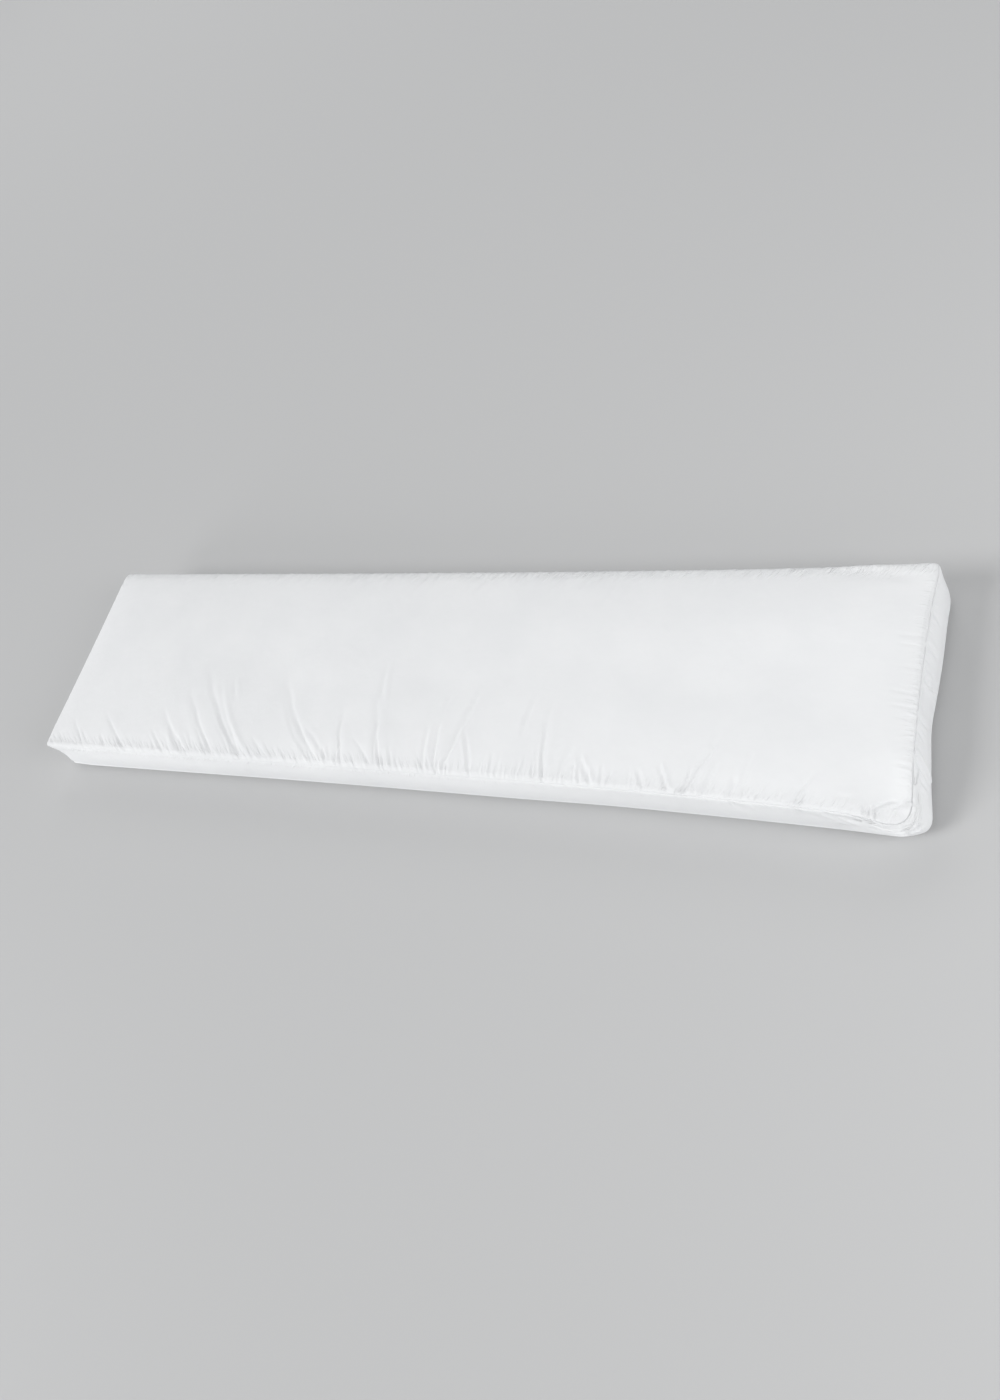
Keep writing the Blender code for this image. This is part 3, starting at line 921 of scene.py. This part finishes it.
# %% Short puckers along every seam
# side and piece: where the run of puckers lies. start and end: along that side. spacing, length, width,
# depth and lean: of the middle one; each pucker is drawn with its own sizes round these. foot: the
# share of its depth that a pucker still has at the seam
Run = namedtuple("Run", "side piece start end spacing length width depth lean foot")
RUNS = (
    Run("near", "panel", -0.790, -0.560, 0.0095, 0.034, 0.0046, 0.0009, -0.95, 1.0),
    Run("near", "panel", -0.560, -0.200, 0.0110, 0.034, 0.0046, 0.0010, -0.90, 0.8),
    Run("near", "panel", -0.200, 0.080, 0.0110, 0.034, 0.0046, 0.0010, -0.60, 0.8),
    Run("near", "panel", 0.080, 0.430, 0.0125, 0.032, 0.0046, 0.0010, 0.05, 0.8),
    Run("near", "panel", 0.430, 0.600, 0.0125, 0.032, 0.0046, 0.0011, 0.35, 1.0),
    Run("near", "panel", 0.600, 0.735, 0.0200, 0.014, 0.0046, 0.0004, 0.45, 1.0),
    Run("right", "panel", -0.150, 0.110, 0.0110, 0.022, 0.0042, 0.0004, 0.05, 1.0),
    Run("far", "panel", -0.560, -0.220, 0.0240, 0.030, 0.0070, 0.0010, -0.50, 0.3),
    Run("far", "panel", -0.220, 0.360, 0.0160, 0.042, 0.0070, 0.0016, -0.55, 0.3),
    Run("far", "panel", 0.360, 0.700, 0.0280, 0.036, 0.0080, 0.0010, -0.40, 0.3),
    Run("left", "panel", -0.150, 0.150, 0.0360, 0.018, 0.0080, 0.0005, 0.00, 0.4),
    Run("near", "band", -0.760, 0.760, 0.0220, 0.018, 0.0070, 0.0004, 0.30, 1.0),
    Run("right", "band", -0.170, 0.170, 0.0180, 0.024, 0.0070, 0.0006, 0.20, 0.5),
    Run("far", "band", -0.760, 0.760, 0.0280, 0.022, 0.0090, 0.0009, -0.20, 1.0),
    Run("left", "band", -0.170, 0.170, 0.0260, 0.020, 0.0090, 0.0009, 0.10, 1.0),
)
count = sum(round((run.end - run.start) / run.spacing) for run in RUNS)
print(len(RUNS), "runs, of about", count, "puckers in all")

# %% The relief of the puckers
UNEVEN = 0.55  # a pucker's sizes are this share more or less at most
LEAN_UNEVEN = 0.25
MOST_LEAN = 1.5  # none leans more, so none is worked out further aside
PUCKER_SEED = 7


def pucker_relief(along, away, run, draw):
    """One run of puckers. along: the way along the side. away: the way in from its seam."""
    total = np.zeros(len(along))
    at = run.start
    while at < run.end:
        length = run.length * draw.uniform(1 - UNEVEN, 1 + UNEVEN)
        width = run.width * draw.uniform(1 - UNEVEN / 2, 1 + UNEVEN / 2)
        depth = run.depth * draw.uniform(1 - UNEVEN, 1 + UNEVEN)
        lean = run.lean + draw.uniform(-LEAN_UNEVEN, LEAN_UNEVEN)
        lip = draw.uniform(-1, 1)
        near = (np.abs(along - at) < WIDTHS_ASIDE * width + MOST_LEAN * length) & (away < length)
        up = np.clip(away[near] / length, 0, 1)
        across = (along[near] - at - lean * away[near]) / math.hypot(1, lean) / (width / 2)
        rise = run.foot + (1 - run.foot) * quarter_wave(up / RISES_OVER)
        total[near] += depth * rise * np.cos(math.pi / 2 * up) * trough(across, lip)
        at += run.spacing * draw.uniform(1 - UNEVEN, 1 + UNEVEN)
    return total


def ways_in(u, v, cloth):
    """How far in from each side's seam a point of the panel lies, along the cloth."""
    over_shoulder = np.minimum(-cloth, -PANEL_CLOTH)
    reach_x, reach_y = LENGTH / 2 - SHOULDER_INSET, WIDTH / 2 - SHOULDER_INSET
    return {
        "near": (1 + v) * reach_y + over_shoulder,
        "far": (1 - v) * reach_y + over_shoulder,
        "left": (1 + u) * reach_x + over_shoulder,
        "right": (1 - u) * reach_x + over_shoulder,
    }


def seam_puckers(x, y, u, v, cloth):
    """All the runs together, for every point of the cover."""
    draw = random.Random(PUCKER_SEED)
    away = ways_in(u, v, cloth)
    along = {"near": x, "far": x, "left": y, "right": y}
    on_rim = rim_sides(u, v)
    total = np.zeros(len(x))
    for run in RUNS:
        side_along = along[run.side]
        if run.piece == "panel":
            chosen = (cloth < 0) & (away[run.side] < (1 + UNEVEN) * run.length)
            total[chosen] += pucker_relief(side_along[chosen], away[run.side][chosen], run, draw)
        else:
            chosen = on_rim[run.side] & (cloth > 0) & (cloth < BAND_DEPTH)
            total[chosen] += pucker_relief(side_along[chosen], cloth[chosen], run, draw)
            total[chosen] += pucker_relief(side_along[chosen], BAND_DEPTH - cloth[chosen], run, draw)
    return total


puckered = seam_puckers(x, y, u, v, cloth)
print("the puckers go", depths(puckered))

# %% [markdown]
# ## Creases across the gusset
# The gusset is one long band, and it folds where the filling doesn't stretch it: across the right end,
# and round the slumped corner, where the seam comes down and leaves the band cloth to spare. The rows
# are the same as on the panel, but their places are measured along the side and down the band, because
# the band stands upright.

# %% Lay the creases across the gusset
# Here x is the way along the side and y the depth under the front seam, along the cloth. Round the
# slumped corner the way along is the sum of a point's own x and y, which grows evenly from the near
# side to the right one, and is about 0.59 at the corner
BAND_CREASES = {
    "right": (
        Crease(-0.108, 0.004, -0.122, 0.068, 0.003, 0.010, 0.0044, -0.7, 0.6, 0.4),
        Crease(-0.130, 0.012, -0.136, 0.048, 0.001, 0.009, 0.0016, 0.5, 0, 0),
        Crease(0.014, 0.010, 0.023, 0.068, 0.002, 0.010, 0.0044, 0.4, 0.3, 0.6),
        Crease(0.034, 0.026, 0.012, 0.068, 0.000, 0.009, 0.0028, 0.4, 0, 0.6),
        Crease(-0.046, 0.004, -0.042, 0.050, 0.002, 0.009, 0.0028, 0.5, 0.6, 0),
        Crease(-0.068, 0.006, -0.076, 0.040, 0.000, 0.008, 0.0012, -0.4, 1, 0),
        Crease(0.066, 0.006, 0.060, 0.050, 0.000, 0.009, 0.0014, -0.4, 1, 0),
        Crease(0.120, 0.004, 0.112, 0.040, 0.000, 0.010, 0.0014, 0.3, 1, 0),
    ),
    "near": (
        Crease(0.690, 0.004, 0.735, 0.040, 0.000, 0.010, 0.0012, 0.4, 1, 0),
        Crease(0.648, 0.004, 0.700, 0.030, 0.000, 0.008, 0.0008, -0.4, 1, 0),
        Crease(0.560, 0.003, 0.610, 0.045, 0.000, 0.010, 0.0012, 0.3, 1, 0),
        Crease(-0.640, 0.006, -0.600, 0.055, 0.000, 0.012, 0.0010, 0.3, 1, 0),
        Crease(-0.330, 0.060, -0.300, 0.010, 0.000, 0.012, 0.0010, -0.3, 0, 0),
    ),
    "far": (
        Crease(-0.420, 0.005, -0.380, 0.060, 0.000, 0.012, 0.0014, 0.4, 1, 0),
        Crease(0.250, 0.004, 0.210, 0.058, 0.000, 0.012, 0.0014, -0.4, 1, 0),
        Crease(0.600, 0.060, 0.640, 0.012, 0.000, 0.011, 0.0012, 0.3, 0, 0),
    ),
    "left": (
        Crease(-0.110, 0.004, -0.080, 0.056, 0.000, 0.011, 0.0015, 0.4, 1, 0),
        Crease(0.090, 0.006, 0.070, 0.050, 0.000, 0.010, 0.0012, -0.4, 1, 0),
    ),
    # round the slumped corner, where the seam comes down and the gusset has cloth to spare
    "corner": (
        Crease(0.508, 0.008, 0.531, 0.018, 0.000, 0.0075, 0.0022, 0.5, 0.6, 0),
        Crease(0.518, 0.006, 0.543, 0.012, 0.000, 0.0070, 0.0016, -0.4, 0.6, 0),
        Crease(0.545, 0.025, 0.598, 0.021, 0.001, 0.0085, 0.0040, -0.6, 0.3, 0.3),
        Crease(0.558, 0.036, 0.594, 0.039, -0.001, 0.0085, 0.0034, 0.5, 0, 0),
        Crease(0.588, 0.031, 0.618, 0.022, 0.002, 0.0075, 0.0034, -0.5, 0, 0),
        Crease(0.598, 0.018, 0.624, 0.033, 0.001, 0.0070, 0.0028, 0.5, 0, 0),
        Crease(0.498, 0.048, 0.588, 0.052, 0.002, 0.0240, 0.0050, 0.0, 0, 0),
    ),
}
print(sum(len(rows) for rows in BAND_CREASES.values()), "creases cross the gusset")

# %% The relief of the gusset's creases
CORNER_FROM_U, CORNER_TO_V = 0.8, -0.2  # the slumped corner's creases lie within these


def band_creases(x, y, u, v, cloth):
    """All the creases of the gusset, for every point of the cover."""
    total = np.zeros(len(x))
    chosen_by = rim_sides(u, v)
    chosen_by["corner"] = (u > CORNER_FROM_U) & (v < CORNER_TO_V)
    along = {"near": x, "far": x, "left": y, "right": y, "corner": x + y}
    for side, rows in BAND_CREASES.items():
        chosen = chosen_by[side] & (cloth > 0) & (cloth < BAND_DEPTH)
        total[chosen] += crease_relief(along[side][chosen], cloth[chosen], rows)
    return total


band_creased = band_creases(x, y, u, v, cloth)
print("the gusset's creases go", depths(band_creased))

# %% [markdown]
# ## Move the cloth
# Now all the folds are added up, and each point moves along its normal by the sum. A Displace modifier
# could do it from a painted picture, but the formulas are sharper than any picture of that size. Beside
# a seam the two sewn layers are stiff, so little of the sum is left there. Where folds cross, the sum is
# held back, so that no pit is deeper than a fold of cloth can be.

# %% Move the cloth
SEAM_HOLD = 0.0060  # within this much of a seam the two layers are too stiff to pucker much
ROLL_HOLD = 0.0100  # the same for the fuller roll of the near seam
SEAM_SHARE = 0.15  # the share of the relief that the seam itself takes part in
DEEPEST = 0.0040  # folds that cross never go deeper together than this


def stiff_way(v, cloth):
    """How far from a seam its two layers are felt."""
    near_roll = by_near_side(v) * (cloth < 0)
    return SEAM_HOLD + (ROLL_HOLD - SEAM_HOLD) * near_roll


relief = (gathered + creased) + (puckered + band_creased)
from_seam = np.minimum(np.abs(cloth), np.abs(cloth - BAND_DEPTH))
relief *= SEAM_SHARE + (1 - SEAM_SHARE) * np.clip(from_seam / stiff_way(v, cloth), 0, 1)
relief = np.where(relief < 0, DEEPEST * np.tanh(relief / DEEPEST), relief)
spots += outwards * relief[:, None]
fine_mesh.vertices.foreach_set("co", spots.ravel())
fine_mesh.update()
print("all folds together go", depths(relief))

# %% [markdown]
# ## Where the finest crinkles run
# Close to a seam the cotton is crinkled finer than any mesh should be. These crinkles are left to the
# material's bump, but they have to run the right way: into the seam, leaning as the gathers lean, and
# round the slumped corner along it. So each point keeps three numbers for the material: its way across
# the crinkles and along them, in metres, and how strong they are there.

# %% Lay the crinkles
# reach: how far in from the seam they go. strength: at the seam
Crinkles = namedtuple("Crinkles", "side reach strength")
CRINKLES = (
    Crinkles("near", 0.040, 0.80),
    Crinkles("right", 0.036, 0.55),
    Crinkles("far", 0.045, 1.30),
    Crinkles("left", 0.030, 0.35),
)
BAND_CRINKLE_REACH = 0.020
SIDES_APART = 0.25  # where two sides are nearer to equal than this, at a corner, the crinkles fade out
SLUMPED = CORNERS[1]
CORNER_REACH = 0.095
CORNER_STEEPNESS = 1.4
CORNER_CRINKLES_END = 0.024  # along the cloth, down the gusset under the slumped corner
LEAN_PLACES = (-0.80, -0.35, 0.00, 0.20, 0.60)  # along the near seam
LEANS = (-0.95, -0.95, -0.50, 0.05, 0.50)  # and how the crinkles lean there
FAR_LEAN = -0.55
print("crinkles reach in by", [row.reach for row in CRINKLES], "m from the sides' seams")

# %% Work out every point's place among them
def round_the_slump(u, v, cloth):
    """How strong the crinkles are on the gusset round the slumped corner."""
    away = np.hypot((u - SLUMPED.u) * LENGTH / 2, (v - SLUMPED.v) * WIDTH / 2)
    down = np.clip(cloth / CORNER_CRINKLES_END, 0, 1)
    return soft_step(CORNER_STEEPNESS * (1 - away / CORNER_REACH)) * np.sin(math.pi * down) ** 0.5


def crinkle_ways(x, y, u, v, cloth):
    """For every point, its way across the crinkles, its way along them, and their strength."""
    away = ways_in(u, v, cloth)
    on_rim = rim_sides(u, v)
    across, along = x.copy(), y.copy()
    strength, next_best = np.zeros(len(x)), np.zeros(len(x))
    for row in CRINKLES:
        lean = {"near": np.interp(x, LEAN_PLACES, LEANS), "far": FAR_LEAN}.get(row.side, 0.0)
        into = np.where(cloth > 0, cloth, away[row.side])
        reach = np.where(cloth > 0, BAND_CRINKLE_REACH, row.reach)
        here = row.strength * soft_step(1 - into / reach) * ((cloth <= 0) | on_rim[row.side])
        stronger = here > strength
        side_way = x if row.side in ("near", "far") else y
        across = np.where(stronger, side_way - lean * into, across)
        along = np.where(stronger, into, along)
        next_best = np.where(stronger, strength, np.maximum(next_best, here))
        strength = np.where(stronger, here, strength)
    strength = strength * soft_step((strength - next_best) / SIDES_APART)
    strength = strength * soft_step(np.abs(cloth) / stiff_way(v, cloth))
    slump = round_the_slump(u, v, cloth)
    here = (cloth > 0) & (slump > strength)
    across, along = np.where(here, cloth, across), np.where(here, x + y, along)
    return across, along, np.where(here, slump, strength)


CRINKLE_NUMBERS = ("crinkle_across", "crinkle_along", "crinkle_strength")
for name, values in zip(CRINKLE_NUMBERS, crinkle_ways(x, y, u, v, cloth)):
    fine_mesh.attributes.new(name, "FLOAT", "POINT").data.foreach_set("value", values)
print("crinkles reach", int((values > 0).sum()), "points")

# %% [markdown]
# ## Close the back
# The back panel lies on the floor, pressed flat by the filling's weight, so it is closed with one flat
# face inside the line where it comes to rest.

# %% Close the back panel
closing = bmesh.new()
closing.from_mesh(fine_mesh)
hole = [edge for edge in closing.edges if edge.is_boundary]
back = bmesh.ops.contextual_create(closing, geom=hole)["faces"]
bmesh.ops.recalc_face_normals(closing, faces=closing.faces)
open_edges = sum(1 for edge in closing.edges if edge.is_boundary)
for face in closing.faces:
    face.smooth = face not in back
closing.to_mesh(fine_mesh)
closing.free()
triangles = sum(len(face.vertices) - 2 for face in fine_mesh.polygons)
print("closed cover:", triangles, "triangles,", open_edges, "open edges")

# %% [markdown]
# ## White cotton
# The cover is a close plain weave of bleached cotton. It is matt, with a soft sheen at grazing angles
# from its fine fuzz, and never one flat white: the colour shifts a little from place to place, and the
# cloth is cockled between its creases. Two crossed waves along the UV map's threads make the weave as
# bump; noise in the object's own coordinates makes the cockle and the colour. The crinkles by the seams
# are a noise too, stretched along the ways that the points keep: wherever it passes through its middle
# there is a valley, so the lines start and end and cross as real ones do.

# %% The cotton material
cotton = bpy.data.materials.new("white_cotton")
cotton.use_nodes = True
nodes, links = cotton.node_tree.nodes, cotton.node_tree.links
surface = nodes["Principled BSDF"]
surface.inputs["Metallic"].default_value = 0.0
surface.inputs["Specular IOR Level"].default_value = 0.25
surface.inputs["Sheen Weight"].default_value = 0.18
surface.inputs["Sheen Roughness"].default_value = 0.45
surface.inputs["Sheen Tint"].default_value = (0.97, 0.98, 1.0, 1.0)
print("cotton with a sheen of", round(surface.inputs["Sheen Weight"].default_value, 2))

# %% Its slight change of white
def add_node(kind, **settings):
    node = nodes.new(kind)
    for name, value in settings.items():
        setattr(node, name, value)
    return node


def noise(scale, detail, roughness):
    made = add_node("ShaderNodeTexNoise")
    made.inputs["Scale"].default_value = scale
    made.inputs["Detail"].default_value = detail
    made.inputs["Roughness"].default_value = roughness
    links.new(where.outputs["Object"], made.inputs["Vector"])
    return made


where = add_node("ShaderNodeTexCoord")
cloud = noise(9.0, 3.0, 0.55)
whites = add_node("ShaderNodeValToRGB")
whites.color_ramp.elements[0].position = 0.30
whites.color_ramp.elements[0].color = (0.825, 0.832, 0.840, 1.0)
whites.color_ramp.elements[1].position = 0.70
whites.color_ramp.elements[1].color = (0.855, 0.860, 0.866, 1.0)
links.new(cloud.outputs["Fac"], whites.inputs["Fac"])
links.new(whites.outputs["Color"], surface.inputs["Base Color"])

matt = add_node("ShaderNodeMapRange")
matt.inputs["To Min"].default_value = 0.78
matt.inputs["To Max"].default_value = 0.90
links.new(cloud.outputs["Fac"], matt.inputs["Value"])
links.new(matt.outputs["Result"], surface.inputs["Roughness"])
print("the cotton's colour and its roughness have", len(nodes), "nodes")

# %% Threads, and a bump from any height
THREAD_PITCH = 0.00040
WAVE_LENGTH = 0.1 * math.pi  # a Wave texture repeats after this much at scale 1

thread_map = add_node("ShaderNodeUVMap", uv_map="threads")


def threads_along(axis):
    made = add_node("ShaderNodeTexWave", bands_direction=axis)
    made.inputs["Scale"].default_value = WAVE_LENGTH / THREAD_PITCH
    made.inputs["Distortion"].default_value = 0.6
    made.inputs["Detail"].default_value = 1.0
    made.inputs["Detail Scale"].default_value = 1.5
    links.new(thread_map.outputs["UV"], made.inputs["Vector"])
    return made


def bump(height, strength, distance, under=None):
    made = add_node("ShaderNodeBump")
    made.inputs["Strength"].default_value = strength
    made.inputs["Distance"].default_value = distance
    links.new(height, made.inputs["Height"])
    if under:
        links.new(under.outputs["Normal"], made.inputs["Normal"])
    return made


print("a thread every", THREAD_PITCH * 1000, "mm")

# %% The lines of the crinkles
CRINKLE_SIZES = (("crinkle_across", 0.0046), ("crinkle_along", 0.030))


def crinkle_lines():
    """Sharp valleys wherever a noise, stretched along the crinkles, passes its middle."""
    ways = add_node("ShaderNodeCombineXYZ")
    for socket, (name, length) in enumerate(CRINKLE_SIZES):
        way = add_node("ShaderNodeMath", operation="DIVIDE")
        links.new(add_node("ShaderNodeAttribute", attribute_name=name).outputs["Fac"], way.inputs[0])
        way.inputs[1].default_value = length
        links.new(way.outputs["Value"], ways.inputs[socket])
    uneven = add_node("ShaderNodeTexNoise")
    uneven.inputs["Scale"].default_value = 1.0
    uneven.inputs["Detail"].default_value = 2.0
    uneven.inputs["Roughness"].default_value = 0.45
    links.new(ways.outputs["Vector"], uneven.inputs["Vector"])
    from_middle = add_node("ShaderNodeMath", operation="SUBTRACT")
    from_middle.inputs[1].default_value = 0.5
    valley = add_node("ShaderNodeMath", operation="ABSOLUTE")
    lines = add_node("ShaderNodeMath", operation="MULTIPLY")
    strength = add_node("ShaderNodeAttribute", attribute_name="crinkle_strength")
    links.new(uneven.outputs["Fac"], from_middle.inputs[0])
    links.new(from_middle.outputs["Value"], valley.inputs[0])
    links.new(valley.outputs["Value"], lines.inputs[0])
    links.new(strength.outputs["Fac"], lines.inputs[1])
    return lines


crinkles = crinkle_lines()
print("crinkles", CRINKLE_SIZES[0][1] * 1000, "mm wide and", CRINKLE_SIZES[1][1] * 1000, "mm long")

# %% The weave, the fuzz and the cockle
CRINKLE_DEPTH = 0.0055

crossing = add_node("ShaderNodeMath", operation="MULTIPLY")
links.new(threads_along("X").outputs["Fac"], crossing.inputs[0])
links.new(threads_along("Y").outputs["Fac"], crossing.inputs[1])
cockle = noise(26.0, 4.0, 0.50)
fuzz = noise(900.0, 2.0, 0.60)
crinkled = bump(crinkles.outputs["Value"], 1.0, CRINKLE_DEPTH)
cockled = bump(cockle.outputs["Fac"], 0.35, 0.004, crinkled)
fuzzy = bump(fuzz.outputs["Fac"], 0.10, 0.0002, cockled)
woven = bump(crossing.outputs["Value"], 0.15, 0.0001, fuzzy)
links.new(woven.outputs["Normal"], surface.inputs["Normal"])
fine_mesh.materials.clear()
fine_mesh.materials.append(cotton)
print("cotton has", len(nodes), "nodes")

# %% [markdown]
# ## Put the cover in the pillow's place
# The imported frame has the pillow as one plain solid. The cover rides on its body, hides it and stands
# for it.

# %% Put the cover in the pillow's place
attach(cover, "root")
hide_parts("pillow")
print("the cover stands for the packed pillow, and is", round(cover.dimensions.x, 3), "m long")

# %% [markdown]
# ## Floor and light
# The pillow lies on a plain pale floor under soft studio light. A white pillow has nothing but its
# shading to show its folds by, so a broad key lamp stands low enough at the front left to graze the
# gathers. Softboxes overhead, at both sides and behind fill what it leaves dark, and a pale world,
# brighter towards its horizon, keeps the gusset almost as light as the face.

# %% The floor
FLOOR_REACH = 20.0
FLOOR_DROP = 0.0004  # so that the flat back and the floor don't lie in one plane
FLOOR_GREY = (0.562, 0.563, 0.564, 1.0)
floor_shape = bmesh.new()
bmesh.ops.create_grid(floor_shape, x_segments=8, y_segments=8, size=FLOOR_REACH)
floor_mesh = bpy.data.meshes.new("floor")
floor_shape.to_mesh(floor_mesh)
floor_shape.free()
floor = bpy.data.objects.new("floor", floor_mesh)
floor.location.z = -FLOOR_DROP
scene.collection.objects.link(floor)
paper = bpy.data.materials.new("floor_paper")
paper.use_nodes = True
paper_surface = paper.node_tree.nodes["Principled BSDF"]
paper_surface.inputs["Base Color"].default_value = FLOOR_GREY
paper_surface.inputs["Roughness"].default_value = 0.9
floor_mesh.materials.append(paper)
print("the floor reaches", FLOOR_REACH, "m each way")

# %% The glow of the room
ZENITH_STRENGTH = 0.29
HORIZON_GLOW = 0.71

scene.view_settings.view_transform = "Standard"
scene.world = bpy.data.worlds.new("studio")
scene.world.use_nodes = True
sky, sky_links = scene.world.node_tree.nodes, scene.world.node_tree.links
glow = sky["Background"]
glow.inputs["Color"].default_value = (0.97, 0.985, 1.0, 1.0)
direction = sky.new("ShaderNodeTexCoord")
upwards = sky.new("ShaderNodeSeparateXYZ")
low = sky.new("ShaderNodeMath")
low.operation = "SUBTRACT"
low.use_clamp = True
low.inputs[0].default_value = 1.0
low_squared = sky.new("ShaderNodeMath")
low_squared.operation = "POWER"
low_squared.inputs[1].default_value = 2.0
strength = sky.new("ShaderNodeMath")
strength.operation = "MULTIPLY_ADD"
strength.inputs[1].default_value = HORIZON_GLOW
strength.inputs[2].default_value = ZENITH_STRENGTH
sky_links.new(direction.outputs["Generated"], upwards.inputs["Vector"])
sky_links.new(upwards.outputs["Z"], low.inputs[1])
sky_links.new(low.outputs["Value"], low_squared.inputs[0])
sky_links.new(low_squared.outputs["Value"], strength.inputs[0])
sky_links.new(strength.outputs["Value"], glow.inputs["Strength"])
print("the room glows from", ZENITH_STRENGTH, "overhead to", ZENITH_STRENGTH + HORIZON_GLOW, "all round")

# %% The lamps
KEY_FROM = (-2.2, -1.6, 2.3)
KEY_STRENGTH = 1.2
KEY_SOFTNESS = math.radians(22)
Softbox = namedtuple("Softbox", "name place size watts")
SOFTBOXES = (
    Softbox("top_softbox", (0.3, -0.6, 3.2), 2.4, 5),
    Softbox("left_front_softbox", (-1.8, -2.2, 0.9), 1.2, 15),
    Softbox("right_softbox", (3.0, -0.6, 1.6), 1.6, 34),
    Softbox("back_softbox", (-1.6, 5.0, 4.0), 2.6, 42),
    Softbox("left_back_softbox", (-4.2, 2.4, 3.0), 2.4, 22),
)


def stand_lamp(name, kind, place):
    """A lamp at a place, turned to the pillow."""
    lamp = bpy.data.lights.new(name, kind)
    stand = bpy.data.objects.new(name, lamp)
    stand.location = place
    stand.rotation_euler = (-Vector(place)).to_track_quat("-Z", "Y").to_euler()
    scene.collection.objects.link(stand)
    return lamp


key = stand_lamp("key_lamp", "SUN", KEY_FROM)
key.energy = KEY_STRENGTH
key.angle = KEY_SOFTNESS
for box in SOFTBOXES:
    lamp = stand_lamp(box.name, "AREA", box.place)
    lamp.shape = "SQUARE"
    lamp.size = box.size
    lamp.energy = box.watts
print("one key lamp and", len(SOFTBOXES), "softboxes, of", sum(box.watts for box in SOFTBOXES), "W in all")
